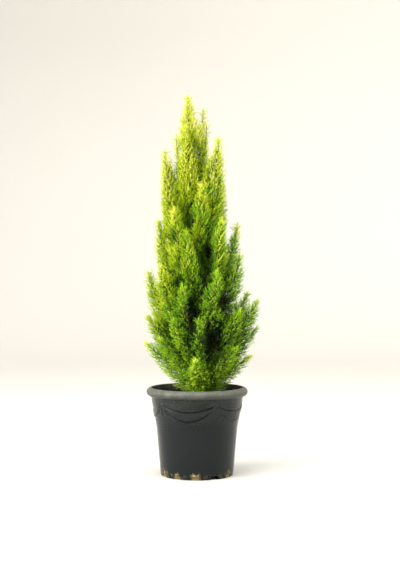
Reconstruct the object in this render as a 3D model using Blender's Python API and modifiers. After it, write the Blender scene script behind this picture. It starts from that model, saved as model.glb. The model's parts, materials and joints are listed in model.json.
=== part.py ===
"""A lemon cypress about a metre tall in a black nursery pot.

The pot is turned from one profile, with drainage notches cut through the corner of its base.
Compost fills it to below the rim, and the trunk stands on the compost. Limbs leave the trunk
and turn upwards, and each carries one plume of foliage: a stem that swells into a core, with
sprays and needles standing out of it. A plume keeps to the space nearest to its own stem.
Units are metres, +Z is up, and the origin is the centre of the pot's flat underside. The front
of the plant faces -Y.
"""

import math
import random

import bmesh
import bpy
import numpy as np
from mathutils import Matrix, Vector

MM = 0.001

# Clearance between solids that touch on the real plant
GAP = 0.3 * MM

# Pot
POT_HEIGHT = 240 * MM
RIM_RADIUS = 140 * MM
RIM_DROP = 23.5 * MM  # from the top down to where the lip stands out from the wall
ROLL_MIDDLE = 127 * MM  # the lip is rolled over this radius, as half an ellipse
ROLL_HALF = 12.2 * MM  # half of its height
ROLL_END = -60.0  # degrees below level, where the rolled sheet ends
BAND_RADIUS = 127.6 * MM  # outside of the wall where it meets the rim
WAIST_RADIUS = 112.3 * MM  # where the flared band meets the plain wall
WAIST_HEIGHT = 133 * MM
WAIST_STEP = 0.6 * MM
FOOT_RADIUS = 99.8 * MM
FOOT_ROUND = 2 * MM
WALL = 2.1 * MM
FLOOR_THICKNESS = 3 * MM
MOUTH_RADIUS = ROLL_MIDDLE - WALL / 2
POT_SIDES = 44

NOTCH_COUNT = 12
NOTCH_WIDTH = 22 * MM
NOTCH_HEIGHT = 9 * MM
NOTCH_FROM = 91 * MM  # the cut's inner end, measured from the pot's middle
NOTCH_TO = 110 * MM
NOTCH_TURN = -92.0  # degrees round from +X, the notch nearest the front

# Compost
COMPOST_TOP = 208 * MM
COMPOST_MOUND = 3 * MM
COMPOST_BUMP = 1.8 * MM
COMPOST_SIDES = 26
COMPOST_PLATEAU = 0.22  # share of the radius that stays level under the trunk
COMPOST_SEED = 11

# Trunk: its foot is on the compost, its upper end inside the leader's foliage
TRUNK_FOOT = Vector((12 * MM, 0.0, COMPOST_TOP + COMPOST_MOUND + GAP))
TRUNK_TOP = Vector((-20.5 * MM, 2 * MM, 900 * MM))
TRUNK_SWAY = 3 * MM
TRUNK_RADIUS = 8.5 * MM
TRUNK_TOP_RADIUS = 2.2 * MM
TAPER_POWER = 0.8
FLARE = 4.5 * MM  # added to the radius at the foot
FLARE_HEIGHT = 14 * MM
TRUNK_POINTS = 13

# Limbs. Each line is a curve of three points: the trunk, a bend, and the plume's tip.
BOUGH_POINTS = 5
BOUGH_RADIUS = 3.4 * MM
LIMB_SHARE = 0.62  # a limb is at most this share of the trunk's radius
TWIG_RADIUS = 0.9 * MM  # every limb's radius at its far end
BEND_OUT = (0.54, 0.86)  # how far out the bend lies, for the lowest plumes and for the highest
BEND_UP = (0.46, 0.36)  # how far up it lies, as a share of the plume's rise
BEND_FROM = (330 * MM, 620 * MM)  # heights of tip between which the lowest turn into the highest
BOUGH_BARE = 0.24  # the part of the line that the bough covers
STEM_BARE = 0.07  # the same where the plume's own stem starts on the trunk
END_STRAIGHT = 5 * MM  # where bough and stem meet, both run straight for this length

# Plumes
AXIS_SAMPLES = 28
CORE_RINGS = (0.0, 0.16, 0.42, 0.74, 1.0)
CORE_SHARE = 0.80  # the core's radius as a share of the plume's
CORE_STEPS = 24
FOOT_FULLNESS = 0.72  # a plume's radius at its foot, as a share of its widest
SWELL = 1.4  # how soon it reaches the widest
POINT_POWER = 0.62  # how bluntly it closes towards the tip
SPACE_MARGIN = 1.6 * MM
CORE_MARGIN = 2.3 * MM
LIMB_MARGIN = 2.2 * MM
POT_MARGIN = 3 * MM

# Sprays are flat blades with a tooth on either side, needles are slim three-sided points
SPRAYS_PER_PLUME = 3
NEEDLES_PER_PLUME = 9
TRIES = 7  # places looked at for each one that is kept
GOLDEN_TURN = math.radians(137.5)
ALONG_STEP = 0.7549  # of no simple ratio to the turn, so that sprays don't wind up one side
TURN_JITTER = 0.3
FIRST_ALONG = 0.08
LAST_ALONG = 0.94
PITCH = 56.0  # degrees between a spray and the stem at the plume's foot
PITCH_LOSS = 30.0  # how much closer to the stem they lie at its tip
LIFT = 0.28  # how strongly a spray turns towards the light
SUNK_SHARE = 0.55  # where a root lies on the way from the stem to the core's surface
SPRAY_REACH = 30 * MM  # how far a spray may stand out of its plume's envelope
TIP_SHARE = 0.30  # the blade at the tip, as a share of the plume's length
TIP_SUNK = 0.07  # how far that blade stands past the end of the core
SHAPES = {  # length, width as a share of it, thickness
    "spray": (44 * MM, 0.55, 1.3 * MM),
    "needle": (29 * MM, 0.34, 4 * MM),
    "tip": (0, 0.6, 1.2 * MM),
}
TOOTH = ((0.52, 0.24), (0.62, 0.08))  # a tooth's point and the notch after it, on a unit blade
BLADE_ROOT = 0.07

# Where each plume's tip is: degrees round the trunk from +X, reach from the trunk's line,
# height of the tip, height where its limb leaves the trunk, widest radius. All in millimetres.
# The last word says what it grows from: a bough, the trunk, or the trunk's very top.
PLUMES = {
    "leader_tip": (180, 4, 1037, 900, 31, "top"),
    "leader_right": (26, 42, 1006, 770, 19, "trunk"),
    "leader_far_right": (30, 54, 964, 720, 20, "trunk"),
    "leader_left": (166, 38, 930, 755, 17, "trunk"),
    "leader_front": (-107, 30, 956, 732, 35, "trunk"),
    "leader_back": (100, 42, 955, 750, 35, "trunk"),
    "left_high": (-172, 70, 886, 560, 44, "bough"),
    "right_high": (-10, 80, 922, 608, 50, "bough"),
    "right_back_high": (34, 108, 800, 545, 48, "trunk"),
    "front_high": (-60, 62, 792, 590, 48, "trunk"),
    "back_high": (108, 76, 860, 580, 51, "bough"),
    "front_left_upper": (-124, 82, 720, 500, 48, "bough"),
    "right_upper": (-36, 100, 694, 480, 48, "bough"),
    "right_back_mid": (14, 129, 688, 462, 38, "bough"),
    "right_mid": (-12, 126, 600, 405, 48, "bough"),
    "left_upper": (-176, 92, 694, 455, 46, "bough"),
    "back_left_upper": (140, 92, 740, 490, 51, "trunk"),
    "back_right_upper": (70, 98, 700, 505, 51, "trunk"),
    "front_upper": (-100, 88, 664, 445, 48, "trunk"),
    "front_right_mid": (-62, 124, 552, 360, 51, "bough"),
    "front_mid": (-109, 118, 514, 340, 51, "trunk"),
    "front_left_mid": (-138, 124, 566, 392, 51, "bough"),
    "left_mid": (174, 131, 554, 352, 48, "bough"),
    "back_left_mid": (132, 122, 600, 386, 54, "bough"),
    "back_mid": (98, 122, 560, 372, 54, "trunk"),
    "back_right_mid": (56, 128, 590, 395, 54, "trunk"),
    "right_low": (-4, 164, 473, 312, 54, "bough"),
    "left_low": (-166, 142, 432, 292, 52, "bough"),
    "front_right_low": (-38, 140, 448, 300, 57, "trunk"),
    "front_low": (-90, 132, 426, 288, 54, "trunk"),
    "front_left_low": (-120, 134, 425, 296, 57, "trunk"),
    "left_front_low": (-142, 132, 372, 272, 48, "trunk"),
    "back_left_low": (150, 142, 436, 282, 54, "trunk"),
    "back_low": (112, 142, 452, 296, 54, "trunk"),
    "back_right_low": (74, 142, 440, 284, 54, "trunk"),
    "right_back_low": (22, 152, 496, 318, 50, "trunk"),
    "right_bottom": (14, 164, 398, 262, 48, "trunk"),
    "left_skirt": (176, 148, 358, 246, 50, "trunk"),
    "right_skirt": (-16, 139, 324, 242, 46, "trunk"),
    "front_right_skirt": (-42, 130, 350, 248, 48, "trunk"),
    "front_skirt": (-96, 120, 318, 240, 48, "trunk"),
    "back_skirt": (94, 126, 330, 242, 45, "trunk"),
}
BARE = {"top": 0.0, "trunk": STEM_BARE, "bough": BOUGH_BARE}

MATERIALS = {  # base colour and roughness
    "nursery_plastic": ((0.055, 0.062, 0.060, 1.0), 0.42),
    "potting_compost": ((0.045, 0.030, 0.020, 1.0), 0.95),
    "cypress_bark": ((0.180, 0.085, 0.050, 1.0), 0.85),
    "cypress_foliage": ((0.300, 0.450, 0.040, 1.0), 0.60),
}


def clear_scene():
    for obj in list(bpy.data.objects):
        bpy.data.objects.remove(obj)


def make_collection(name):
    collection = bpy.data.collections.new(name)
    bpy.context.scene.collection.children.link(collection)
    return collection


def make_material(name, colour, roughness):
    material = bpy.data.materials.new(name)
    material.use_nodes = True
    shader = material.node_tree.nodes["Principled BSDF"]
    shader.inputs["Base Color"].default_value = colour
    shader.inputs["Roughness"].default_value = roughness
    shader.inputs["Metallic"].default_value = 0.0
    return material


def dress(obj, material, smooth_angle):
    obj.data.materials.clear()
    obj.data.materials.append(material)
    obj.data.shade_smooth()
    obj.data.set_sharp_from_angle(angle=math.radians(smooth_angle))


def as_mesh(obj, collection):
    """The object's evaluated shape as a plain mesh object with welded caps; obj is removed."""
    graph = bpy.context.evaluated_depsgraph_get()
    mesh = bpy.data.meshes.new_from_object(obj.evaluated_get(graph))
    work = bmesh.new()
    work.from_mesh(mesh)
    bmesh.ops.remove_doubles(work, verts=work.verts, dist=MM / 1000)
    bmesh.ops.recalc_face_normals(work, faces=work.faces)
    work.to_mesh(mesh)
    work.free()
    name = obj.name
    place = obj.matrix_world.copy()
    bpy.data.objects.remove(obj)
    made = bpy.data.objects.new(name, mesh)
    made.matrix_world = place
    collection.objects.link(made)
    return made


def tube(name, points, radii, resolution, collection):
    """A tapering limb: a poly curve with a round bevel and filled caps, made a mesh."""
    curve = bpy.data.curves.new(name, "CURVE")
    curve.dimensions = "3D"
    curve.fill_mode = "FULL"
    curve.bevel_depth = 1.0
    curve.bevel_resolution = resolution
    curve.use_fill_caps = True
    spline = curve.splines.new("POLY")
    spline.points.add(len(points) - 1)
    for place, point, radius in zip(spline.points, points, radii):
        place.co = (*point, 1.0)
        place.radius = radius
    obj = bpy.data.objects.new(name, curve)
    collection.objects.link(obj)
    bpy.context.view_layer.update()
    return as_mesh(obj, collection)


def boolean(obj, other, operation):
    """Joins or cuts obj with one object, or with every object of a collection, and applies it."""
    modifier = obj.modifiers.new(operation.lower(), "BOOLEAN")
    modifier.operation = operation
    modifier.solver = "EXACT"
    if isinstance(other, bpy.types.Collection):
        modifier.operand_type = "COLLECTION"
        modifier.collection = other
    else:
        modifier.object = other
    bpy.context.view_layer.update()
    graph = bpy.context.evaluated_depsgraph_get()
    mesh = bpy.data.meshes.new_from_object(obj.evaluated_get(graph))
    obj.modifiers.clear()
    obj.data = mesh


def empty_collection(collection):
    for obj in list(collection.objects):
        bpy.data.objects.remove(obj)


def connected_faces(first):
    """Every face that can be reached from the first one across shared edges."""
    body = {first}
    waiting = [first]
    while waiting:
        for edge in waiting.pop().edges:
            for near in edge.link_faces:
                if near not in body:
                    body.add(near)
                    waiting.append(near)
    return body


def keep_largest_body(obj):
    """Drops loose scraps, such as a spray whose root missed the core, and fills sealed hollows."""
    work = bmesh.new()
    work.from_mesh(obj.data)
    unseen = set(work.faces)
    bodies = []
    while unseen:
        bodies.append(connected_faces(next(iter(unseen))))
        unseen -= bodies[-1]
    bodies.sort(key=lambda body: sum(face.calc_area() for face in body))
    loose = [face for body in bodies[:-1] for face in body]
    bmesh.ops.delete(work, geom=loose, context="FACES")
    work.to_mesh(obj.data)
    work.free()


def turned(name, profile, steps, collection):
    """A solid turned about Z from an open profile whose ends lie on the axis."""
    mesh = bpy.data.meshes.new(name)
    points = [(radius, 0.0, height) for radius, height in profile]
    mesh.from_pydata(points, [(i, i + 1) for i in range(len(points) - 1)], [])
    obj = bpy.data.objects.new(name, mesh)
    collection.objects.link(obj)
    screw = obj.modifiers.new("turn", "SCREW")
    screw.axis = "Z"
    screw.steps = steps
    screw.render_steps = steps
    screw.use_merge_vertices = True
    screw.merge_threshold = MM / 100
    bpy.context.view_layer.update()
    return as_mesh(obj, collection)


def wall_radius(height):
    """The outside of the pot's wall: a plain cone below the waist, a flared band above it."""
    if height < WAIST_HEIGHT:
        return FOOT_RADIUS + (WAIST_RADIUS - FOOT_RADIUS) * height / WAIST_HEIGHT
    share = (height - WAIST_HEIGHT) / (POT_HEIGHT - RIM_DROP - WAIST_HEIGHT)
    return WAIST_RADIUS + (BAND_RADIUS - WAIST_RADIUS) * share


def roll(depth, start, end, steps):
    """Points on the rolled lip's outside, or that deep under it, between two angles in degrees."""
    points = []
    for i in range(steps + 1):
        angle = math.radians(start + (end - start) * i / steps)
        radius = ROLL_MIDDLE + (RIM_RADIUS - ROLL_MIDDLE - depth) * math.cos(angle)
        points.append((radius, POT_HEIGHT - ROLL_HALF + (ROLL_HALF - depth) * math.sin(angle)))
    return points


def pot_profile():
    """From the middle of the inside floor, up the inside, over the lip and down the outside."""
    lip_bottom = POT_HEIGHT - RIM_DROP
    floor_corner = 2 * FLOOR_THICKNESS
    inside = [
        (0.0, FLOOR_THICKNESS),
        (wall_radius(FLOOR_THICKNESS) - 2 * WALL, FLOOR_THICKNESS),
        (wall_radius(floor_corner) - WALL, floor_corner),
        (WAIST_RADIUS - WALL, WAIST_HEIGHT),
        (BAND_RADIUS - WALL, lip_bottom),
        (MOUTH_RADIUS - WALL / 4, POT_HEIGHT - WALL),
        (MOUTH_RADIUS, POT_HEIGHT - WALL / 3),
    ]
    over = roll(0.0, 90, ROLL_END, 6)
    under = roll(WALL, ROLL_END, 60, 5)
    outside = [
        (BAND_RADIUS + WALL / 4, under[-1][1] - WALL / 2),
        (BAND_RADIUS, lip_bottom),
        (WAIST_RADIUS + WAIST_STEP, WAIST_HEIGHT + WALL / 2),
        (WAIST_RADIUS - WAIST_STEP, WAIST_HEIGHT - WALL / 2),
        (wall_radius(FOOT_ROUND), FOOT_ROUND),
        (FOOT_RADIUS - FOOT_ROUND, 0.0),
        (0.0, 0.0),
    ]
    return inside + over + under + outside


def build_pot(parts, cutters):
    pot = turned("pot", pot_profile(), POT_SIDES, parts)
    size = Matrix.Diagonal((NOTCH_TO - NOTCH_FROM, NOTCH_WIDTH, 2 * NOTCH_HEIGHT, 1))
    outward = Matrix.Translation(((NOTCH_FROM + NOTCH_TO) / 2, 0, 0))
    for i in range(NOTCH_COUNT):
        turn = Matrix.Rotation(math.radians(NOTCH_TURN + 360 * i / NOTCH_COUNT), 4, "Z")
        mesh = bpy.data.meshes.new("notch")
        work = bmesh.new()
        bmesh.ops.create_cube(work, size=1.0)
        work.to_mesh(mesh)
        work.free()
        mesh.transform(turn @ outward @ size)
        cutters.objects.link(bpy.data.objects.new(f"notch_{i:02d}", mesh))
    boolean(pot, cutters, "DIFFERENCE")
    empty_collection(cutters)
    return pot


def build_compost(parts):
    """Fills the pot to below the rim, with a low mound and a crumbly top."""
    bottom = FLOOR_THICKNESS + 2 * GAP
    low = 3 * FLOOR_THICKNESS
    side = [
        (wall_radius(FLOOR_THICKNESS) - 3 * WALL, bottom),
        (wall_radius(low) - 1.5 * WALL, low),
        (WAIST_RADIUS - 1.5 * WALL, WAIST_HEIGHT),
        (wall_radius(COMPOST_TOP) - 1.5 * WALL, COMPOST_TOP),
    ]
    edge = side[-1][0]
    level = COMPOST_TOP + COMPOST_MOUND
    slope = [(edge * r, COMPOST_TOP + COMPOST_MOUND * (1 - r)) for r in (0.46, 0.74)]
    top = [(0.0, level), (edge * COMPOST_PLATEAU, level)] + slope
    compost = turned("compost", top + side[::-1] + [(0.0, bottom)], COMPOST_SIDES, parts)
    chance = random.Random(COMPOST_SEED)
    rings = [radius for radius, _ in slope]
    for vertex in compost.data.vertices:
        reach = math.hypot(vertex.co.x, vertex.co.y)
        if vertex.co.z > COMPOST_TOP and rings[0] - MM < reach < rings[1] + MM:
            vertex.co.z += chance.uniform(-COMPOST_BUMP, COMPOST_BUMP)
    return compost


def trunk_share(height):
    return min(1.0, max(0.0, (height - TRUNK_FOOT.z) / (TRUNK_TOP.z - TRUNK_FOOT.z)))


def trunk_point(height):
    """The trunk's line leans towards -X and sways a little from side to side."""
    share = trunk_share(height)
    place = TRUNK_FOOT.lerp(TRUNK_TOP, share)
    sway = TRUNK_SWAY * math.sin(2 * math.pi * share)
    return Vector((place.x + sway, place.y + sway / 2, height))


def trunk_radius(height):
    """An even taper, with the root flare added over the first centimetres."""
    taper = TRUNK_RADIUS + (TRUNK_TOP_RADIUS - TRUNK_RADIUS) * trunk_share(height) ** TAPER_POWER
    return taper + FLARE * math.exp(-(height - TRUNK_FOOT.z) / FLARE_HEIGHT)


def build_trunk(name, resolution, collection, extra=0.0, below=0.0):
    """Rings lie closer together at the flare. The line starts upright, so the foot is level."""
    shares = [(i / (TRUNK_POINTS - 1)) ** 1.7 for i in range(TRUNK_POINTS)]
    heights = [TRUNK_FOOT.z + share * (TRUNK_TOP.z - TRUNK_FOOT.z) for share in shares]
    points = [trunk_point(height) for height in heights]
    radii = [trunk_radius(height) + extra for height in heights]
    points.insert(1, points[0] + Vector((0, 0, MM)))
    radii.insert(1, radii[0])
    points[0] = points[0] - Vector((0, 0, below))
    return tube(name, points, radii, resolution, collection)


def smooth_share(value, low, high):
    """From 0 at low to 1 at high, level at both ends."""
    share = min(1.0, max(0.0, (value - low) / (high - low)))
    return share * share * (3 - 2 * share)


def between(ends, share):
    return ends[0] + (ends[1] - ends[0]) * share


class Plume:
    """One plume's line from the trunk to its tip, and the radius of the space that it fills."""

    def __init__(self, name, azimuth, reach, tip, root, girth, grows_from):
        self.name = name
        self.grows_from = grows_from
        self.girth = girth * MM
        self.bare = BARE[grows_from]
        self.start = trunk_point(root * MM)
        turn = math.radians(azimuth)
        outward = Vector((math.cos(turn), math.sin(turn), 0)) * reach * MM
        self.end = trunk_point(tip * MM) + outward
        across = Vector((self.end.x - self.start.x, self.end.y - self.start.y, 0))
        rise = Vector((0, 0, self.end.z - self.start.z))
        high = smooth_share(tip * MM, *BEND_FROM)
        self.bend = self.start + across * between(BEND_OUT, high) + rise * between(BEND_UP, high)
        if grows_from == "top":
            self.bend = self.start.lerp(self.end, 0.5)
        self.length = (self.bend - self.start).length + (self.end - self.bend).length

    def at(self, share):
        rest = 1 - share
        return self.start * rest**2 + self.bend * (2 * share * rest) + self.end * share**2

    def heading(self, share):
        return ((self.bend - self.start) * (1 - share) + (self.end - self.bend) * share).normalized()

    def limb_radius(self, share):
        """The limb's own taper along the whole line."""
        first = min(BOUGH_RADIUS, LIMB_SHARE * trunk_radius(self.start.z))
        if self.grows_from == "top":
            first = TRUNK_TOP_RADIUS
        return first + (TWIG_RADIUS - first) * share**0.75

    def share(self, along):
        """From 0 where the foliage starts to 1 at its tip, the share of the limb's whole line."""
        return self.bare + (1 - self.bare) * along

    def radius(self, along):
        """The foliage's radius: it swells above its foot and closes to a point."""
        swell = min(1.0, FOOT_FULLNESS + SWELL * along)
        return self.girth * swell * max(0.0, 1.0 - along) ** POINT_POWER

    def sideways(self, share, roll):
        """A direction square to the stem, turned round it by roll."""
        forward = self.heading(share)
        level = forward.cross(Vector((0, 0, 1)))
        level = level.normalized() if level.length > MM else Vector((1, 0, 0))
        return level * math.cos(roll) + level.cross(forward) * math.sin(roll)


class Crown:
    """All the plumes and limbs as arrays, to tell whose space a point lies in."""

    def __init__(self, plumes):
        alongs = np.linspace(0, 1, AXIS_SAMPLES)
        self.lines = np.array([[plume.at(plume.share(a)) for a in alongs] for plume in plumes])
        self.radii = np.array([[plume.radius(a) for a in alongs] for plume in plumes])
        heights = np.linspace(TRUNK_FOOT.z, TRUNK_TOP.z, 60)
        limbs = [(trunk_point(height), trunk_radius(height), -1) for height in heights]
        for index, plume in enumerate(plumes):
            for share in np.linspace(0, plume.bare, 8):
                limbs.append((plume.at(share), plume.limb_radius(share), index))
        self.limb_points = np.array([point for point, _, _ in limbs])
        self.limb_radii = np.array([radius for _, radius, _ in limbs])
        self.limb_owner = np.array([owner for _, _, owner in limbs])

    def depth(self, points):
        """For each point, how far it lies outside each plume's envelope, negative inside it."""
        away = np.linalg.norm(points[:, None, None, :] - self.lines[None], axis=3)
        return (away - self.radii[None]).min(axis=2)

    def clear(self, index, points, margin, slack):
        """For each point, whether it keeps to this plume's space, off limbs, compost and pot."""
        points = np.asarray(points, float)
        depth = self.depth(points)
        own = depth[:, index].copy()
        depth[:, index] = np.inf
        good = (own < slack) & (own + 2 * margin < depth.min(axis=1))
        others = self.limb_owner != index
        away = np.linalg.norm(points[:, None] - self.limb_points[None, others], axis=2)
        good &= (away > self.limb_radii[others] + LIMB_MARGIN).all(axis=1)
        reach = np.hypot(points[:, 0], points[:, 1])
        at_wall = (points[:, 2] < POT_HEIGHT + POT_MARGIN) & (reach > MOUTH_RADIUS - POT_MARGIN)
        return good & ~at_wall & (points[:, 2] > TRUNK_FOOT.z + POT_MARGIN)

    def kept_radius(self, index, centre, direction, radius):
        """How far out from the stem, up to radius, every point is still in the plume's space."""
        steps = np.linspace(0.1, 1.0, CORE_STEPS) * radius
        points = np.array(centre)[None] + np.array(direction)[None] * steps[:, None]
        fails = np.nonzero(~self.clear(index, points, CORE_MARGIN, CORE_MARGIN))[0]
        return steps[max(0, fails[0] - 1)] if len(fails) else radius


def blade_mesh():
    """A spray seen flat: a point between two side teeth in one outline, a unit long, along +X."""
    outline = [(0.0, BLADE_ROOT), *TOOTH, (1.0, 0.0)]
    outline += [(x, -y) for x, y in reversed(TOOTH)] + [(0.0, -BLADE_ROOT)]
    curve = bpy.data.curves.new("blade", "CURVE")
    curve.dimensions = "2D"
    curve.fill_mode = "BOTH"
    curve.extrude = 0.5
    spline = curve.splines.new("POLY")
    spline.points.add(len(outline) - 1)
    spline.use_cyclic_u = True
    for place, (x, y) in zip(spline.points, outline):
        place.co = (x, y, 0.0, 1.0)
    obj = bpy.data.objects.new("blade", curve)
    bpy.context.scene.collection.objects.link(obj)
    bpy.context.view_layer.update()
    made = as_mesh(obj, bpy.context.scene.collection)
    mesh = made.data
    bpy.data.objects.remove(made)
    return mesh


def needle_mesh():
    """A three-sided needle, a unit long, along +X."""
    mesh = bpy.data.meshes.new("needle")
    work = bmesh.new()
    bmesh.ops.create_cone(work, cap_ends=True, segments=3, radius1=0.5, radius2=0.0, depth=1.0)
    bmesh.ops.translate(work, verts=work.verts, vec=(0, 0, 0.5))
    bmesh.ops.rotate(work, verts=work.verts, matrix=Matrix.Rotation(math.pi / 2, 3, "Y"))
    bmesh.ops.remove_doubles(work, verts=work.verts, dist=MM)
    bmesh.ops.recalc_face_normals(work, faces=work.faces)
    work.to_mesh(mesh)
    work.free()
    return mesh


def laid(root, direction, length, kind, twist):
    """The matrix that lays a unit blade or needle from its root along a direction."""
    side = direction.cross(Vector((0, 0, 1)))
    side = side.normalized() if side.length > MM else Vector((1, 0, 0))
    side = Matrix.Rotation(twist, 3, direction) @ side
    turn = Matrix((direction, side, direction.cross(side))).transposed().to_4x4()
    _, width, thickness = SHAPES[kind]
    size = Matrix.Diagonal((length, width * length, thickness, 1))
    return Matrix.Translation(root) @ turn @ size


def spray_matrix(plume, along, roll, kind, chance):
    """A spray rooted in the core, pointing outwards, forwards and a little up."""
    share = plume.share(along)
    pitch = math.radians(PITCH - PITCH_LOSS * along) * chance.uniform(0.8, 1.2)
    sideways = plume.sideways(share, roll)
    direction = plume.heading(share) * math.cos(pitch) + sideways * math.sin(pitch)
    direction = (direction + Vector((0, 0, LIFT))).normalized()
    root = plume.at(share) + sideways * (SUNK_SHARE * CORE_SHARE * plume.radius(along))
    length = SHAPES[kind][0] * (1 - 0.35 * along) * chance.uniform(0.8, 1.15)
    return laid(root, direction, length, kind, chance.uniform(0, math.pi))


def tip_matrix(plume, chance):
    """The blade that carries the plume to its furthest point."""
    length = TIP_SHARE * plume.length * (1 - plume.bare)
    direction = plume.heading(1.0)
    root = plume.at(1.0) - direction * length * (1 - TIP_SUNK)
    return laid(root, direction, length, "tip", chance.uniform(0, math.pi))


def choose_sprays(crown, index, plume):
    """Goes round and along the stem by the golden angle, and skips what leaves the space."""
    chance = random.Random(plume.name)
    wanted = {"spray": SPRAYS_PER_PLUME, "needle": NEEDLES_PER_PLUME}
    corners = [(0.3, 0.0), (1.0, 0.0), TOOTH[0], (TOOTH[0][0], -TOOTH[0][1])]
    chosen = [("tip", tip_matrix(plume, chance))]
    for i in range(TRIES * sum(wanted.values())):
        along = FIRST_ALONG + (LAST_ALONG - FIRST_ALONG) * ((i * ALONG_STEP) % 1.0)
        roll = i * GOLDEN_TURN + chance.uniform(-TURN_JITTER, TURN_JITTER)
        kind = "needle" if i % 3 else "spray"
        matrix = spray_matrix(plume, along, roll, kind, chance)
        spread = [matrix @ Vector((x, y, 0)) for x, y in corners]
        if wanted[kind] > 0 and crown.clear(index, spread, SPACE_MARGIN, SPRAY_REACH).all():
            wanted[kind] -= 1
            chosen.append((kind, matrix))
    return chosen


def build_core(crown, index, plume, parts):
    """The plume's stem, swelling into its core and ending in a fine tip."""
    points = [plume.at(plume.share(along)) for along in CORE_RINGS]
    radii = [CORE_SHARE * plume.radius(along) for along in CORE_RINGS]
    radii[0] = plume.limb_radius(plume.bare)
    radii[-1] = TWIG_RADIUS
    first = plume.heading(plume.bare)
    if plume.grows_from == "trunk":
        points.insert(0, plume.start)
        radii.insert(0, plume.limb_radius(0))
    else:
        points[0] = points[0] + first * GAP
        points.insert(1, points[0] + first * END_STRAIGHT)
        radii.insert(1, radii[0])
    core = tube(f"foliage_{plume.name}", points, radii, 1, parts)
    for vertex in core.data.vertices:
        nearest = min(range(len(points)), key=lambda i: (vertex.co - points[i]).length)
        if radii[nearest] > BOUGH_RADIUS:
            outward = vertex.co - points[nearest]
            direction = outward.normalized()
            kept = crown.kept_radius(index, points[nearest], direction, outward.length)
            vertex.co = points[nearest] + direction * kept
    return core


def build_foliage(crown, index, plume, shapes, parts, sprays, clear_trunk):
    """One plume: the core with its sprays and needles joined on, cut clear of the trunk."""
    core = build_core(crown, index, plume, parts)
    for kind, matrix in choose_sprays(crown, index, plume):
        mesh = shapes[kind].copy()
        mesh.transform(matrix)
        sprays.objects.link(bpy.data.objects.new(kind, mesh))
    boolean(core, sprays, "UNION")
    empty_collection(sprays)
    if plume.grows_from == "trunk":
        boolean(core, clear_trunk, "DIFFERENCE")
    keep_largest_body(core)
    return core


def build_bough(plume, parts, clear_trunk):
    """A tapering limb from the trunk's bark to where the plume's foliage begins."""
    shares = [plume.bare * i / (BOUGH_POINTS - 1) for i in range(BOUGH_POINTS)]
    points = [plume.at(share) for share in shares]
    radii = [plume.limb_radius(share) for share in shares]
    points.insert(-1, points[-1] - plume.heading(plume.bare) * END_STRAIGHT)
    radii.insert(-1, radii[-1])
    bough = tube(f"bough_{plume.name}", points, radii, 1, parts)
    boolean(bough, clear_trunk, "DIFFERENCE")
    return bough


def main():
    clear_scene()
    parts = make_collection("lemon_cypress")
    cutters = make_collection("cutters")
    sprays = make_collection("loose_sprays")
    materials = {name: make_material(name, *look) for name, look in MATERIALS.items()}
    bark = materials["cypress_bark"]

    dress(build_pot(parts, cutters), materials["nursery_plastic"], 35)
    dress(build_compost(parts), materials["potting_compost"], 40)
    dress(build_trunk("trunk", 4, parts), bark, 40)
    clear_trunk = build_trunk("trunk_clearance", 4, cutters, extra=GAP, below=10 * MM)
    clear_trunk.hide_render = True
    clear_trunk.display_type = "WIRE"

    plumes = [Plume(name, *row) for name, row in PLUMES.items()]
    crown = Crown(plumes)
    shapes = {"spray": blade_mesh(), "needle": needle_mesh()}
    shapes["tip"] = shapes["spray"]
    for index, plume in enumerate(plumes):
        if plume.grows_from == "bough":
            dress(build_bough(plume, parts, clear_trunk), bark, 40)
        foliage = build_foliage(crown, index, plume, shapes, parts, sprays, clear_trunk)
        dress(foliage, materials["cypress_foliage"], 30)


main()
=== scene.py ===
# Lemon cypress in a black nursery pot: the looks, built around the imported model.
# Metres, +Z up. The pot stands on z = 0 and the side that the camera sees faces -Y.
# Lengths in the settings are in millimetres unless a note says otherwise.

import json

import bmesh
import bpy
import numpy as np
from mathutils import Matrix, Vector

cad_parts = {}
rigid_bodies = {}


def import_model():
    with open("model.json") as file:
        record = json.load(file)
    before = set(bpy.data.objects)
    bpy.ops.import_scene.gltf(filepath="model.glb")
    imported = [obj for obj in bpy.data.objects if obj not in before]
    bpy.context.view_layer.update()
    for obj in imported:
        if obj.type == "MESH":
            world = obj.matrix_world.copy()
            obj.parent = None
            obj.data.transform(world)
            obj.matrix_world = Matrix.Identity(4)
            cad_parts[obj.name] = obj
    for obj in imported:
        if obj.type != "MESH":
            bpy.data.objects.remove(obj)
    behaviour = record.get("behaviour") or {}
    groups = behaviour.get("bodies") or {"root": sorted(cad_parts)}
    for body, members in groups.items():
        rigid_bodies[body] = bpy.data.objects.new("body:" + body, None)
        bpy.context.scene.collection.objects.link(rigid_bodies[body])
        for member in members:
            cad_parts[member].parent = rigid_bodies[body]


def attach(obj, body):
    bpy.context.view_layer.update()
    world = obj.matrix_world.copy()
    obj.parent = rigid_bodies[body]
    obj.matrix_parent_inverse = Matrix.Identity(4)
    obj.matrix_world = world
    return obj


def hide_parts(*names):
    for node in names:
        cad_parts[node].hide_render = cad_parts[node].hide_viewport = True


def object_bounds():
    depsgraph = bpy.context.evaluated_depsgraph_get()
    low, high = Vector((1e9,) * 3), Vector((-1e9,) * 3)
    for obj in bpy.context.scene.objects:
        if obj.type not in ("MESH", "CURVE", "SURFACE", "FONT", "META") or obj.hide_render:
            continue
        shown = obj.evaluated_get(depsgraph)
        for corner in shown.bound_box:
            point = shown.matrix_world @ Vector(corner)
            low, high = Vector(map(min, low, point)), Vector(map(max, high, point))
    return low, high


for spare in [obj for obj in bpy.data.objects if obj.name in ("Cube", "Light", "Camera")]:
    bpy.data.objects.remove(spare)
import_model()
cadLow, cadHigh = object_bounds()
mm = 0.001
goldenTurn = np.radians(137.5)
upward = np.array((0.0, 0.0, 1.0))


# helpers


def unit(vectors):
    # each vector over its own length
    return vectors / np.maximum(np.linalg.norm(vectors, axis=-1, keepdims=True), 1e-12)


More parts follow.
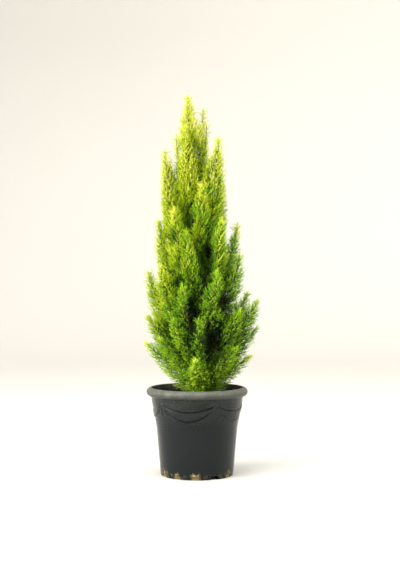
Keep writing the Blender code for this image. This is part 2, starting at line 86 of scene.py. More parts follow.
def blend(low, high, share):
    # a straight mix of two values
    return low + (high - low) * share


def ease(low, high, value):
    # 0 below low and 1 above high, with the smooth 3t2 - 2t3 between them
    share = np.clip((value - low) / (high - low), 0, 1)
    return share * share * (3 - 2 * share)


def bell(distance, width):
    # a smooth ridge: 1 on its line, falling off as exp(-(distance/width)^2)
    return np.exp(-((distance / width) ** 2))


def latticeValue(cells, seed):
    # a repeatable number from 0 to 1 for each whole-number cell, by multiplying and mixing its bits
    x, y, z = np.moveaxis(cells, -1, 0)
    mixed = x * 73856093 ^ y * 19349663 ^ z * 83492791 ^ seed * 2654435
    mixed = (mixed ^ (mixed >> 13)) * 1274126177 & 0x7FFFFFFF
    return ((mixed ^ (mixed >> 16)) & 0xFFFF) / 65535


def softNoise(points, size, seed):
    # values on a lattice of that size, blended smoothly between the eight corners around each point
    place = np.asarray(points) / size
    cell = np.floor(place).astype(np.int64)
    inside = place - cell
    inside = inside * inside * (3 - 2 * inside)
    total = 0
    for corner in np.ndindex(2, 2, 2):
        weight = np.prod(np.where(corner, inside, 1 - inside), axis=-1)
        total = total + weight * latticeValue(cell + np.array(corner), seed)
    return total * 2 - 1


def addObject(name, data):
    # an object with that data, in the scene
    added = bpy.data.objects.new(name, data)
    bpy.context.scene.collection.objects.link(added)
    return added


def newPiece(name, points, faceSets, material, slot, replaced, smooth=True):
    # a mesh from whole arrays: its points, and sets of faces that have the same number of corners
    points = np.asarray(points, np.float32).reshape(-1, 3)
    corners = np.concatenate([faces.ravel() for faces in faceSets]).astype(np.int32)
    sides = np.concatenate([np.full(len(faces), faces.shape[1]) for faces in faceSets])
    mesh = bpy.data.meshes.new(name)
    mesh.vertices.add(len(points))
    mesh.vertices.foreach_set("co", points.ravel())
    mesh.loops.add(len(corners))
    mesh.loops.foreach_set("vertex_index", corners)
    mesh.polygons.add(len(sides))
    mesh.polygons.foreach_set("loop_start", (np.cumsum(sides) - sides).astype(np.int32))
    mesh.polygons.foreach_set("use_smooth", np.full(len(sides), smooth))
    mesh.update(calc_edges=True)
    mesh.materials.append(material)
    piece = addObject(name, mesh)
    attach(piece, "root")
    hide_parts(*replaced)
    print(f"{name}: {np.sum(sides - 2)} triangles")
    return piece


def wrapFaces(rows, columns):
    # quads of a grid whose columns close on themselves, facing out where rows run up and columns round
    first = np.arange((rows - 1) * columns).reshape(-1, columns)
    after = np.roll(first, -1, axis=1)
    return np.stack((first, after, after + columns, first + columns), axis=-1).reshape(-1, 4)


def copies(faces, count, size):
    # the same faces for that many bodies, which have so many points each
    return (faces[None] + np.arange(count)[:, None, None] * size).reshape(-1, faces.shape[1])


def closedTubes(grid):
    # the sides and the end caps of tubes whose rings of points lie in grid, one tube or many
    rows, columns = grid.shape[-3:-1]
    ring = np.arange(columns)
    caps = np.stack((ring[::-1], ring + (rows - 1) * columns))
    count = grid.size // (3 * rows * columns)
    return [copies(faces, count, rows * columns) for faces in (wrapFaces(rows, columns), caps)]


def numbered(counts):
    # for rows of that many items each: every item's row, its number there from 0, and the row's count
    row = np.repeat(np.arange(len(counts)), counts)
    before = np.cumsum(counts) - counts
    return row, np.arange(len(row)) - before[row], counts[row]


def evenTurns(count):
    # angles in that many equal steps round a circle
    return np.linspace(0, 2 * np.pi, count, endpoint=False)


def polar(radius, angle, height):
    # points that far from the axis, turned that far from +X, at that height
    return np.stack(np.broadcast_arrays(radius * np.cos(angle), radius * np.sin(angle), height), axis=-1)


def spokes(forward, across, columns):
    # directions round a line: its two sides mixed by the cosine and sine of even turns
    around = evenTurns(columns)[:, None]
    other = np.cross(forward, across)
    return across[..., None, :] * np.cos(around) + other[..., None, :] * np.sin(around)


def squareTo(forward, roll):
    # a direction square to forward: its level side and that side's partner, mixed by cosine and sine
    level = np.cross(forward, upward)
    short = np.linalg.norm(level, axis=-1, keepdims=True) < 1e-3
    level = unit(np.where(short, (1.0, 0.0, 0.0), level))
    return level * np.cos(roll)[..., None] + np.cross(level, forward) * np.sin(roll)[..., None]


def leaning(forward, pitch, roll):
    # forward tilted by pitch towards the side that roll gives
    return forward * np.cos(pitch)[:, None] + squareTo(forward, roll) * np.sin(pitch)[:, None]


def curveAt(start, bend, end, share):
    # a curve of three points: (1-s)^2 of the start, 2s(1-s) of the bend and s^2 of the end
    share = np.asarray(share)[..., None]
    rest = 1 - share
    return start * rest**2 + bend * (2 * share * rest) + end * share**2


def curveHeading(start, bend, end, share):
    # its direction: the first leg's turned evenly into the second's
    share = np.asarray(share)[..., None]
    return unit((bend - start) * (1 - share) + (end - bend) * share)


def linearColour(hexCode):
    # sRGB hex to linear light: a straight line below 0.04045, the power 2.4 above it
    values = np.array([int(hexCode[i:i + 2], 16) / 255 for i in (1, 3, 5)])
    linear = np.where(values <= 0.04045, values / 12.92, ((values + 0.055) / 1.055) ** 2.4)
    return (*linear.tolist(), 1.0)


def addNode(tree, kind, inputs=(), out=0, **settings):
    # one node and its settings by name. Its inputs are a dictionary by socket, or a row in the sockets'
    # order, each a value, a hex colour or another node's output. It gives back the output that out names.
    node = tree.nodes.new("ShaderNode" + kind)
    for name, value in settings.items():
        setattr(node, name, value)
    inputs = inputs if isinstance(inputs, dict) else dict(enumerate(inputs))
    for socket, value in inputs.items():
        if isinstance(value, bpy.types.NodeSocket):
            tree.links.new(value, node.inputs[socket])
        else:
            node.inputs[socket].default_value = linearColour(value) if isinstance(value, str) else value
    return node.outputs[out]


mixColours = {"out": 2, "data_type": "RGBA"}
multiply = {"operation": "MULTIPLY", "use_clamp": True}
greater = {"operation": "MAXIMUM", "use_clamp": True}


def newMaterial(name, **values):
    # a material, its node tree, its Principled shader with plain numbers set by name, and the place on it
    material = bpy.data.materials.new(name)
    material.use_nodes = True
    tree = material.node_tree
    shader = tree.nodes["Principled BSDF"]
    for socket, value in values.items():
        shader.inputs[socket.replace("_", " ")].default_value = value
    return material, tree, shader, addNode(tree, "TexCoord", out="Object")


def plug(tree, shader, **outputs):
    # links outputs to the shader's sockets by name
    for socket, output in outputs.items():
        tree.links.new(output, shader.inputs[socket.replace("_", " ")])


# camera, floor and light

cameraSettings = {
    "place": (0.0083, -2.82, 0.5214),  # metres: level with the middle of the plant
    "lens": 64.5,
    "sensor": 36.0,
}


def buildCamera():
    data = bpy.data.cameras.new("camera")
    data.lens = cameraSettings["lens"]
    data.sensor_width = cameraSettings["sensor"]
    camera = addObject("camera", data)
    camera.location = cameraSettings["place"]
    camera.rotation_euler = (np.pi / 2, 0, 0)
    bpy.context.scene.camera = camera


stageSettings = {
    "inner": 0.4,  # metres, the innermost ring of the flat floor
    "radius": 4.2,  # metres, its edge
    "wall": 8.0,  # metres, height of the sweep behind it
    "sweep": 3.0,  # metres, radius of the curve between them
    "rings": (8, 16),  # on the floor and up the curve
    "columns": 96,
    "colour": "#CDCBC6",
}

# kind, place and target in metres, size in metres or degrees, power in watts, colour
lightSettings = {
    "window": ("SUN", (-2.9, -2.6, 2.4), (0, 0, 0.4), 50, 2.75, "#FFFCF6"),
    "side": ("AREA", (-2.4, -1.2, 1.5), (0, 0, 0.5), 1.8, 75, "#FFFEFA"),
    "top": ("AREA", (-0.1, -0.5, 3.2), (0, 0, 0.5), 2.4, 80, "#FFFFFF"),
    "fill": ("AREA", (2.6, -0.9, 1.9), (0, 0, 0.5), 2.2, 44, "#FFFDF8"),
}
worldSettings = {"colour": "#F6F5F1", "strength": 1.2}


def buildStage():
    # a floor disc that sweeps up into a round wall: radius and height along a quarter circle
    s = stageSettings
    flatRings, sweepRings = s["rings"]
    turn = np.linspace(0, np.pi / 2, sweepRings)
    flat = np.linspace(s["inner"], s["radius"], flatRings)
    curve, rise = s["sweep"] * np.sin(turn[1:]), s["sweep"] * (1 - np.cos(turn[1:]))
    radii = np.concatenate((flat, s["radius"] + curve, [s["radius"] + s["sweep"]]))
    heights = np.concatenate((flat * 0, rise, [s["wall"]]))
    points = polar(radii[:, None], evenTurns(s["columns"]), heights[:, None])
    faces = wrapFaces(len(radii), s["columns"])[:, ::-1]
    # matt paint with clouds of 1.7 m, hardly to be seen
    material, tree, shader, place = newMaterial("paintedStudioFloor", Roughness=0.85)
    mottle = addNode(tree, "TexNoise", {"Vector": place, "Scale": 0.6, "Detail": 2})
    tone = addNode(tree, "MapRange", (mottle, 0.0, 1.0, 0.98, 1.02))
    paint = linearColour(s["colour"])[:3]
    plug(tree, shader, Base_Color=addNode(tree, "VectorMath", {0: paint, "Scale": tone}, operation="SCALE"))
    mesh = bpy.data.meshes.new("studioFloor")
    mesh.from_pydata(points.reshape(-1, 3).tolist(), [], faces.tolist() + [list(range(s["columns"]))])
    mesh.shade_smooth()
    mesh.materials.append(material)
    floor = addObject("studioFloor", mesh)
    floor.visible_shadow = False  # the wall lets the pale surroundings light the plant


def buildLights():
    # each light looks along the line from its place to its target: a tilt from straight down, then a turn
    for name, (kind, place, target, size, power, colour) in lightSettings.items():
        data = bpy.data.lights.new(name, kind)
        if kind == "SUN":
            data.angle = np.radians(size)
        else:
            data.shape = "DISK"
            data.size = size
        data.energy = power
        data.color = linearColour(colour)[:3]
        light = addObject(name, data)
        light.location = place
        aim = np.array(place) - np.array(target)
        tilt = np.arctan2(np.hypot(aim[0], aim[1]), aim[2])
        light.rotation_euler = (tilt, 0, np.arctan2(aim[0], -aim[1]))
        light.visible_camera = False
    world = bpy.data.worlds.new("paleRoom")
    world.use_nodes = True
    background = world.node_tree.nodes["Background"]
    background.inputs["Color"].default_value = linearColour(worldSettings["colour"])
    background.inputs["Strength"].default_value = worldSettings["strength"]
    bpy.context.scene.world = world
    bpy.context.scene.view_settings.view_transform = "Standard"


buildCamera()
buildStage()
buildLights()
print("camera, floor and light ready")


# trunk and limbs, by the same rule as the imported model's

trunkSettings = {
    "foot": (12.0, 0.0, 211.3),
    "top": (-20.5, 2.0, 900.0),
    "sway": 3.0,
    "radius": 8.5,
    "topRadius": 2.2,
    "taper": 0.8,
    "flare": 4.5,
    "flareHeight": 14.0,
}
limbSettings = {
    "firstRadius": 3.4,
    "trunkShare": 0.62,  # a limb is at most this share of the trunk's radius
    "lastRadius": 0.9,
    "bendOut": (0.54, 0.86),  # where the bend lies from start to end, for the lowest and highest limbs
    "bendUp": (0.46, 0.36),
    "bendFrom": (330.0, 620.0),  # heights of tip between which the one turns into the other
    "bare": {"top": 0.0, "trunk": 0.07, "bough": 0.24},
    "footFullness": 0.72,  # a plume's radius at its foot, as a share of its widest
    "swell": 1.4,
    "pointPower": 0.62,
}
crownSettings = {"foot": 230, "height": 810}
# each plume's tip: degrees round the trunk from +X, reach from the trunk's line, height of the tip,
# height where its limb leaves the trunk, widest radius, and what it grows from
plumeTable = {
    "leader_tip": (180, 4, 1037, 900, 31, "top"),
    "leader_right": (26, 42, 1006, 770, 19, "trunk"),
    "leader_far_right": (30, 54, 964, 720, 20, "trunk"),
    "leader_left": (166, 38, 930, 755, 17, "trunk"),
    "leader_front": (-107, 30, 956, 732, 35, "trunk"),
    "leader_back": (100, 42, 955, 750, 35, "trunk"),
    "left_high": (-172, 70, 886, 560, 44, "bough"),
    "right_high": (-10, 80, 922, 608, 50, "bough"),
    "right_back_high": (34, 108, 800, 545, 48, "trunk"),
    "front_high": (-60, 62, 792, 590, 48, "trunk"),
    "back_high": (108, 76, 860, 580, 51, "bough"),
    "front_left_upper": (-124, 82, 720, 500, 48, "bough"),
    "right_upper": (-36, 100, 694, 480, 48, "bough"),
    "right_back_mid": (14, 129, 688, 462, 38, "bough"),
    "right_mid": (-12, 126, 600, 405, 48, "bough"),
    "left_upper": (-176, 92, 694, 455, 46, "bough"),
    "back_left_upper": (140, 92, 740, 490, 51, "trunk"),
    "back_right_upper": (70, 98, 700, 505, 51, "trunk"),
    "front_upper": (-100, 88, 664, 445, 48, "trunk"),
    "front_right_mid": (-62, 124, 552, 360, 51, "bough"),
    "front_mid": (-109, 118, 514, 340, 51, "trunk"),
    "front_left_mid": (-138, 124, 566, 392, 51, "bough"),
    "left_mid": (174, 131, 554, 352, 48, "bough"),
    "back_left_mid": (132, 122, 600, 386, 54, "bough"),
    "back_mid": (98, 122, 560, 372, 54, "trunk"),
    "back_right_mid": (56, 128, 590, 395, 54, "trunk"),
    "right_low": (-4, 164, 473, 312, 54, "bough"),
    "left_low": (-166, 142, 432, 292, 52, "bough"),
    "front_right_low": (-38, 140, 448, 300, 57, "trunk"),
    "front_low": (-90, 132, 426, 288, 54, "trunk"),
    "front_left_low": (-120, 134, 425, 296, 57, "trunk"),
    "left_front_low": (-142, 132, 372, 272, 48, "trunk"),
    "back_left_low": (150, 142, 436, 282, 54, "trunk"),
    "back_low": (112, 142, 452, 296, 54, "trunk"),
    "back_right_low": (74, 142, 440, 284, 54, "trunk"),
    "right_back_low": (22, 152, 496, 318, 50, "trunk"),
    "right_bottom": (14, 164, 398, 262, 48, "trunk"),
    "left_skirt": (176, 148, 358, 246, 50, "trunk"),
    "right_skirt": (-16, 139, 324, 242, 46, "trunk"),
    "front_right_skirt": (-42, 130, 350, 248, 48, "trunk"),
    "front_skirt": (-96, 120, 318, 240, 48, "trunk"),
    "back_skirt": (94, 126, 330, 242, 45, "trunk"),
}
plumeNames = list(plumeTable)
plumeCount = len(plumeNames)
boughNodes = [f"bough_{name}" for name in sorted(plumeTable) if plumeTable[name][5] == "bough"]
foliageNodes = [f"foliage_{name}" for name in sorted(plumeTable)]


def trunkShare(height):
    foot, top = trunkSettings["foot"][2] * mm, trunkSettings["top"][2] * mm
    return np.clip((height - foot) / (top - foot), 0, 1)


def trunkPoint(height):
    # the straight line from foot to top at that height, swayed sideways by one sine over its length
    height = np.asarray(height, float)
    share = trunkShare(height)
    foot, top = np.array(trunkSettings["foot"]) * mm, np.array(trunkSettings["top"]) * mm
    sway = trunkSettings["sway"] * mm * np.sin(2 * np.pi * share)
    x = blend(foot[0], top[0], share) + sway
    y = blend(foot[1], top[1], share) + sway / 2
    return np.stack((x, y, height), axis=-1)


def trunkRadius(height):
    # an even taper, and a root flare that dies away over the first centimetres
    s = trunkSettings
    taper = blend(s["radius"], s["topRadius"], trunkShare(height) ** s["taper"])
    above = (height / mm - s["foot"][2]) / s["flareHeight"]
    return (taper + s["flare"] * np.exp(-above)) * mm


def crownLevel(height):
    # 0 at the crown's foot and 1 at its top
    return np.clip((height / mm - crownSettings["foot"]) / crownSettings["height"], 0, 1)


def limbArrays():
    # the start, bend and end of every limb, its bare share, its first radius and its plume's girth
    s = limbSettings
    azimuth, reach, tip, root, girth = np.array([row[:5] for row in plumeTable.values()], float).T
    grows = np.array([row[5] for row in plumeTable.values()])
    start = trunkPoint(root * mm)
    end = trunkPoint(tip * mm) + polar(1.0, np.radians(azimuth), 0.0) * reach[:, None] * mm
    high = ease(*s["bendFrom"], tip)
    out, up = blend(*s["bendOut"], high), blend(*s["bendUp"], high)
    bend = start + (end - start) * np.stack((out, out, up), axis=-1)
    isTop = grows == "top"
    bend[isTop] = (start[isTop] + end[isTop]) / 2
    first = np.minimum(s["firstRadius"] * mm, s["trunkShare"] * trunkRadius(start[:, 2]))
    first[isTop] = trunkSettings["topRadius"] * mm
    bare = np.array([s["bare"][word] for word in grows])
    return start, bend, end, bare, first, girth * mm, grows


limbStart, limbBend, limbEnd, limbBare, limbFirst, plumeGirth, growsFrom = limbArrays()
limbLegs = limbBend - limbStart, limbEnd - limbBend
limbLength = np.linalg.norm(limbLegs[0], axis=1) + np.linalg.norm(limbLegs[1], axis=1)


def limbAt(plume, share):
    return curveAt(limbStart[plume], limbBend[plume], limbEnd[plume], share)


def limbHeading(plume, share):
    return curveHeading(limbStart[plume], limbBend[plume], limbEnd[plume], share)


def foliageShare(plume, along):
    # along runs from 0 where the foliage starts to 1 at its tip, as a share of the whole limb
    return limbBare[plume] + (1 - limbBare[plume]) * along


def plumeRadius(plume, along):
    # the foliage swells above its foot and closes to a point
    swell = np.minimum(1, limbSettings["footFullness"] + limbSettings["swell"] * along)
    return plumeGirth[plume] * swell * np.maximum(0, 1 - along) ** limbSettings["pointPower"]


# bark

barkSettings = {
    "strips": (9, 5),  # strips of peeling bark round the trunk, and round a limb
    "depths": (0.55, 0.22),  # of their relief, on the trunk and on a limb
    "wander": ((0.8, 31.0, 0.0), (0.5, 13.0, 2.1)),  # swing, length and phase of the strips' way up
    "ridgePower": 0.6,
    "flakeShare": 0.65,  # of that depth
    "flakeSize": (3.0, 3.0, 22.0),  # flakes are long and narrow
    "flakeFiner": (2.3, 0.5),  # how much smaller the flakes on them are, and how much lower
    "topFade": 0.35,  # share of the depth that is left at the trunk's top
    "columns": 72,
    "rowHeight": 2.0,
    "limbColumns": 18,
    "limbRows": 64,
    "limbEnd": 0.985,  # share of the limb's curve that has bark
    "rowPower": 1.15,  # rows lie closer at the limb's start
    "limbTaper": 0.75,
    "collar": (0.35, 9.0),  # how much wider a limb is where it leaves the trunk, and how soon that ends
}


def barkRelief(around, points, strips, depth):
    # strips that wander round the limb as they climb, with long flakes lifted from them
    s = barkSettings
    height = points[..., 2] / mm
    wander = sum(swing * np.sin(height / length + phase) for swing, length, phase in s["wander"])
    ridge = np.abs(np.sin(around * strips / 2 + wander))
    size = np.array(s["flakeSize"]) * mm
    smaller, lower = s["flakeFiner"]
    flake = softNoise(points, size, 5) + lower * softNoise(points, size / smaller, 6)
    return depth * (ridge ** s["ridgePower"] - s["ridgePower"]) + depth * s["flakeShare"] * flake


def buildBarkMaterial():
    # thin bark of a young cypress, peeling in long fibres: warm red-brown with grey weathered edges, matt
    material, tree, shader, place = newMaterial("peelingCypressBark", Roughness=0.86)
    # fibres about 0.6 mm wide and 9 mm long, and weathered patches of 6 mm
    stretched = addNode(tree, "Mapping", {"Vector": place, "Scale": (1, 1, 0.07)})
    fibres = addNode(tree, "TexNoise", {"Vector": stretched, "Scale": 1500, "Detail": 3})
    patches = addNode(tree, "TexNoise", {"Vector": place, "Scale": 160, "Detail": 3})
    weathered = addNode(tree, "MapRange", (patches, 0.45, 0.62))
    brown = addNode(tree, "Mix", {0: fibres, 6: "#341B10", 7: "#754529"}, **mixColours)
    grey = addNode(tree, "Mix", {0: weathered, 6: brown, 7: "#6B5A4B"}, **mixColours)
    relief = addNode(tree, "Bump", {"Height": fibres, "Strength": 0.6, "Distance": 0.0006})
    plug(tree, shader, Base_Color=grey, Normal=relief)
    return material


def tubeGrid(points, side, radii, columns, relief=None):
    # rings of that radius round a path, square to it, the first spoke kept as near to side as can be,
    # and each point pushed in or out by the relief
    forward = unit(np.gradient(points, axis=-2))
    across = unit(side - forward * np.sum(side * forward, axis=-1, keepdims=True))
    spoke = spokes(forward, across, columns)
    grid = points[..., None, :] + spoke * radii[..., None, None]
    if relief is not None:
        grid = grid + spoke * relief(evenTurns(columns), grid)[..., None]
    return grid


def buildTrunk(material):
    # rings up the trunk's line, closed flat at both ends
    s = barkSettings
    foot, top = trunkSettings["foot"][2] * mm, trunkSettings["top"][2] * mm
    heights = np.arange(foot, top, s["rowHeight"] * mm)
    points = trunkPoint(heights)
    points[0] = points[1] - (0, 0, heights[1] - heights[0])

    def relief(around, grid):
        fade = s["topFade"] + (1 - s["topFade"]) * (1 - trunkShare(grid[..., 2]))
        return barkRelief(around, grid, s["strips"][0], s["depths"][0] * mm) * fade

    grid = tubeGrid(points, np.array((1.0, 0, 0)), trunkRadius(heights), s["columns"], relief)
    grid[0, :, 2] = foot
    newPiece("trunkBark", grid, closedTubes(grid), material, "cypress_bark", ["trunk"])


def buildLimbs(material):
    # every limb from inside the trunk to its plume's tip, with a collar where it leaves the trunk
    s = barkSettings
    plume = np.arange(plumeCount)[:, None]
    share = np.linspace(0, s["limbEnd"], s["limbRows"])[None, :] ** s["rowPower"] + 0 * plume
    first, last = limbFirst[:, None], limbSettings["lastRadius"] * mm
    radii = blend(first, last, share ** s["limbTaper"])
    wider, collarLength = s["collar"]
    collar = np.exp(-share * limbLength[:, None] / (collarLength * mm))
    collar[growsFrom == "top"] = 0
    plane = np.cross(*limbLegs)
    plane[np.linalg.norm(plane, axis=1) < 1e-9] = (1.0, 0.0, 0.0)

    def relief(around, grid):
        return barkRelief(around, grid, s["strips"][1], (1 - share)[..., None] * s["depths"][1] * mm)

    side = unit(plane)[:, None, :]
    grid = tubeGrid(limbAt(plume, share), side, radii * (1 + wider * collar), s["limbColumns"], relief)
    newPiece("boughBark", grid, closedTubes(grid), material, "cypress_bark", boughNodes)


barkMaterial = buildBarkMaterial()
buildTrunk(barkMaterial)
buildLimbs(barkMaterial)


# foliage: branches on the limbs and the trunk, sprays on the branches, needles on the sprays

branchSettings = {
    # between neighbouring tips, and where these lie as a share of the plume's radius: outside and inside it
    "sets": ((18.5, (0.80, 1.06)), (27.0, (0.34, 0.74))),
    "fewest": 6,  # on a plume
    "crowding": 0.34,  # how much closer they are at the crown's top
    "crest": (0.42, 0.84, 0.97),  # how much wider the topmost plumes fan out, and between which levels
    "inset": 6.0,  # the sprays on a branch stand this far out of it
    "fill": 0.4,  # how much further they reach towards the trunk, where the crown closes
    "tipShare": 0.3,  # a plume's end carries more branches than its area asks for
    "rollJitter": (-0.35, 0.35),
    "chord": (34.0, 56.0),  # degrees between a branch and its limb, end to end
    "rootFrom": 0.03,  # share of the limb that carries no branch
    "rootSpread": 0.12,  # and by how much it varies
    # what a branch's last heading adds to its limb's: up, out of the plume and out of the crown,
    # the last of these at the crown's foot and at its top
    "endUp": 0.3,
    "endOut": 0.55,
    "endSpread": (0.45, 0.1),
    "curl": 0.46,  # share of the length that is taken up by the turn at the end
    "overlap": 7.0,  # how far a plume's branches may reach into the next plume
    "radii": (0.95, 0.35),  # at its root and its tip
}
fillerSettings = {  # branches between the plumes
    "tries": 5000,
    "heights": (240, 700, 1.3),  # the lowest, how far up they go, and what crowds them downward
    "reach": (145.0, 0.75),  # from the trunk, and the share of it that is lost up to the crown's top
    "deepest": 9,  # so far inside a plume they may end
    "steps": (18, 32, 48),  # further out there has to be a plume, at one of these steps
    "stepRise": 0.15,
    "cover": 4,  # how deep in it that is
    "below": 0.45,  # a limb point lies below the tip by this share of their distance
    "belowCost": 2,  # what each millimetre too high counts
    "endOut": (0.7, 0.3),  # the last heading's share outward, at the crown's foot and at its top
}
shootSettings = {  # shoots from the trunk
    "count": 150,
    "ends": (8, -6),  # where the first and the last grow, from the trunk's foot and from its top
    "reach": (26.0, 62.0),
    "shrink": (1.0, 0.45),  # of the reach, at the foot and at the top
    "rise": (0.5, 1.6),  # as a share of the reach
    "endOut": 0.45,
}
spraySettings = {
    "spacing": 3.6,  # along a branch
    "firstAt": 0.12,  # share of a branch that carries none
    "jitter": (0.2, 0.8),  # place in its step
    "pitch": 54.0,  # degrees between a spray and its branch, and how much less at the branch's end
    "pitchLoss": 26.0,
    "pitchSpread": (0.7, 1.3),
    "branchTurn": 1.7,  # radians from one branch's first spray to the next branch's
    "length": (12.0, 21.0),
    "shrink": 0.35,  # how much shorter they are at the branch's end
    "lift": 0.2,
    "endLength": (12, 20),  # of the one that ends a branch
    "radius": 0.32,
    "outside": 10.0,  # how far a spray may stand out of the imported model's box
    "shortened": 0.6,  # share of the length that is left where its end isn't clear
    "middle": 0.6,  # share of the length where its light is measured
}
limbSpraySettings = {  # sprays on each limb itself, from its bare foot to its tip
    "count": 60,
    "crowding": 0.75,  # a power below 1 moves them towards the tip
    "pitchSpread": (0.8, 1.2),
    "length": (15, 25),
    "lift": 0.15,
    # at the limb's foot and at its tip: degrees from the limb, factor on the length, and age
    "pitch": (62, 8),
    "shrink": (1.1, 0.7),
    "age": (0.2, 1.0),
}
needleSettings = {
    "spacing": 1.86,  # between needles along a spray
    "fewest": 5,
    "firstAt": 0.4,  # of the step between two
    "lastAt": 0.95,  # the last one ends the spray
    "lastPitch": 0.08,  # radians
    "rollJitter": (-0.5, 0.5),
    "pitch": 23.0,  # degrees between a needle and its spray
    "pitchLoss": (1.2, 0.5),  # its factor at the spray's foot, and what that loses up to the tip
    "pitchSpread": (0.7, 1.3),
    "length": 6.4,
    "shrink": (1.1, 0.45),  # the same two for the length
    "lengthSpread": (0.75, 1.25),
    "width": 1.55,
    "widthPower": 0.8,
    "thickness": 0.4,
    "widestAt": 0.42,
    "lift": 0.12,
    "shadeGrowth": 0.55,  # in full shade they are this much larger, and there are as many fewer
    "shade": (0.16, 0.03),  # shares of daylight where shade begins and where it is full
    "mostFaces": 190000,  # in a piece
}
# foliage stays above the soil, and above this height wherever it is so far out
potClearance = {"height": 243.0, "reach": 123.0, "soil": 213.0}
envelopeSamples = 28


def envelopeLines():
    # points along every plume's line, and the plume's radius there
    along = np.linspace(0, 1, envelopeSamples)[None, :]
    plume = np.arange(plumeCount)[:, None]
    return limbAt(plume, foliageShare(plume, along)).reshape(-1, 3), plumeRadius(plume, along).ravel()


linePoints, lineRadii = envelopeLines()


def plumeDistances(points):
    # how far each point lies outside every plume's envelope, negative inside, from all distances at once:
    # |p|^2 + |q|^2 - 2 p.q
    lineSquares = (linePoints**2).sum(axis=1)
    parts = []
    for near in np.array_split(points, len(points) // 8192 + 1):
        squares = (near**2).sum(axis=1)[:, None] + lineSquares - 2 * near @ linePoints.T
        outside = np.sqrt(np.maximum(squares, 0)) - lineRadii
        parts.append(outside.reshape(len(near), plumeCount, envelopeSamples).min(axis=2))
    return np.concatenate(parts)


def isClear(points):
    # true where a point keeps off the compost, the pot and the trunk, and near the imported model's box
    height = points[:, 2]
    atPot = height < potClearance["height"] * mm
    atPot &= np.hypot(points[:, 0], points[:, 1]) > potClearance["reach"] * mm
    inSoil = height < potClearance["soil"] * mm
    fromTrunk = np.linalg.norm(points[:, :2] - trunkPoint(height)[:, :2], axis=1)
    inTrunk = (height < trunkSettings["top"][2] * mm) & (fromTrunk < trunkRadius(height))
    margin = spraySettings["outside"] * mm
    inBox = np.all((points > np.array(cadLow) - margin) & (points < np.array(cadHigh) + margin), axis=1)
    return inBox & ~atPot & ~inSoil & ~inTrunk


# where the crown opens and shows its dark inside: middle, and half of the width, depth and height
cleftTable = (
    ((-27, -66, 703), (22, 46, 46)),
    ((-64, -60, 652), (10, 34, 24)),
    ((27, -92, 585), (19, 55, 74)),
    ((-12, -122, 446), (17, 60, 66)),
    ((78, -92, 474), (24, 60, 40)),
    ((44, -125, 350), (32, 62, 62)),
    ((-56, -108, 521), (15, 42, 17)),
)


def cleftDistances(points):
    # how far each point is from every cleft's middle, 1 at the surface of its ellipsoid
    middle, half = np.array(cleftTable, float).transpose(1, 0, 2)
    return np.linalg.norm((points[:, None] / mm - middle) / half, axis=2)


def isOpen(points):
    # true where a branch may end: clear of everything and in no cleft
    return isClear(points) & (cleftDistances(points) >= 1).all(axis=1)


def alongByArea(rank):
    # places along a plume so that equal steps of rank cover about equal areas of its envelope
    along = np.linspace(0.02, 1, 200)
    area = np.cumsum(plumeRadius(0, along) + branchSettings["tipShare"] * plumeGirth[0])
    return np.interp(rank, area / area[-1], along)


def branchTips(chance, spacing, shares):
    # tips round and along each plume by the golden angle, one for each square of that spacing
    s = branchSettings
    meanRadius = plumeRadius(np.arange(plumeCount)[:, None], np.linspace(0, 1, 60)[None, :]).mean(axis=1)
    area = 2 * np.pi * meanRadius * np.mean(shares) * limbLength * (1 - limbBare)
    level = crownLevel(limbEnd[:, 2])
    squares = (spacing * mm * (1 - s["crowding"] * level)) ** 2
    owner, nth, many = numbered(np.maximum(s["fewest"], np.round(area / squares)).astype(int))
    along = alongByArea((nth + chance.uniform(0, 1, len(owner))) / many)
    roll = nth * goldenTurn + chance.uniform(*s["rollJitter"], len(owner))
    radial = np.maximum(0, plumeRadius(owner, along) - s["inset"] * mm)
    radial = radial * chance.uniform(*shares, len(owner))
    wider, *levels = s["crest"]
    return owner, along, roll, radial * (1 + wider * ease(*levels, level))[owner]


def limbBranches(chance, spacing, shares):
    # a branch leaves its limb below its tip, so that root and tip make the chord's angle with the limb
    s = branchSettings
    owner, along, roll, radial = branchTips(chance, spacing, shares)
    share = foliageShare(owner, along)
    heading = limbHeading(owner, share)
    sideways = squareTo(heading, roll)
    middle = limbAt(owner, share)
    outward = unit((middle - trunkPoint(middle[:, 2])) * (1, 1, 0))
    radial = radial * (1 + s["fill"] * np.maximum(0, -np.sum(outward * sideways, axis=1)))
    tip = middle + sideways * radial[:, None]
    chord = np.radians(chance.uniform(*s["chord"], len(owner)))
    below = radial / np.tan(chord) / limbLength[owner]
    lowest = s["rootFrom"] + s["rootSpread"] * chance.uniform(0, 1, len(owner)) * share
    root = limbAt(owner, np.maximum(share - below, lowest))
    spread = blend(*s["endSpread"], crownLevel(middle[:, 2]))[:, None]
    ending = unit(heading + upward * s["endUp"] + sideways * s["endOut"] + outward * spread)
    outside = plumeDistances(tip)
    own = outside[np.arange(len(tip)), owner]
    outside[np.arange(len(tip)), owner] = np.inf
    keep = (own < outside.min(axis=1) + s["overlap"] * mm) & isOpen(tip)
    return owner[keep], root[keep], tip[keep], ending[keep]


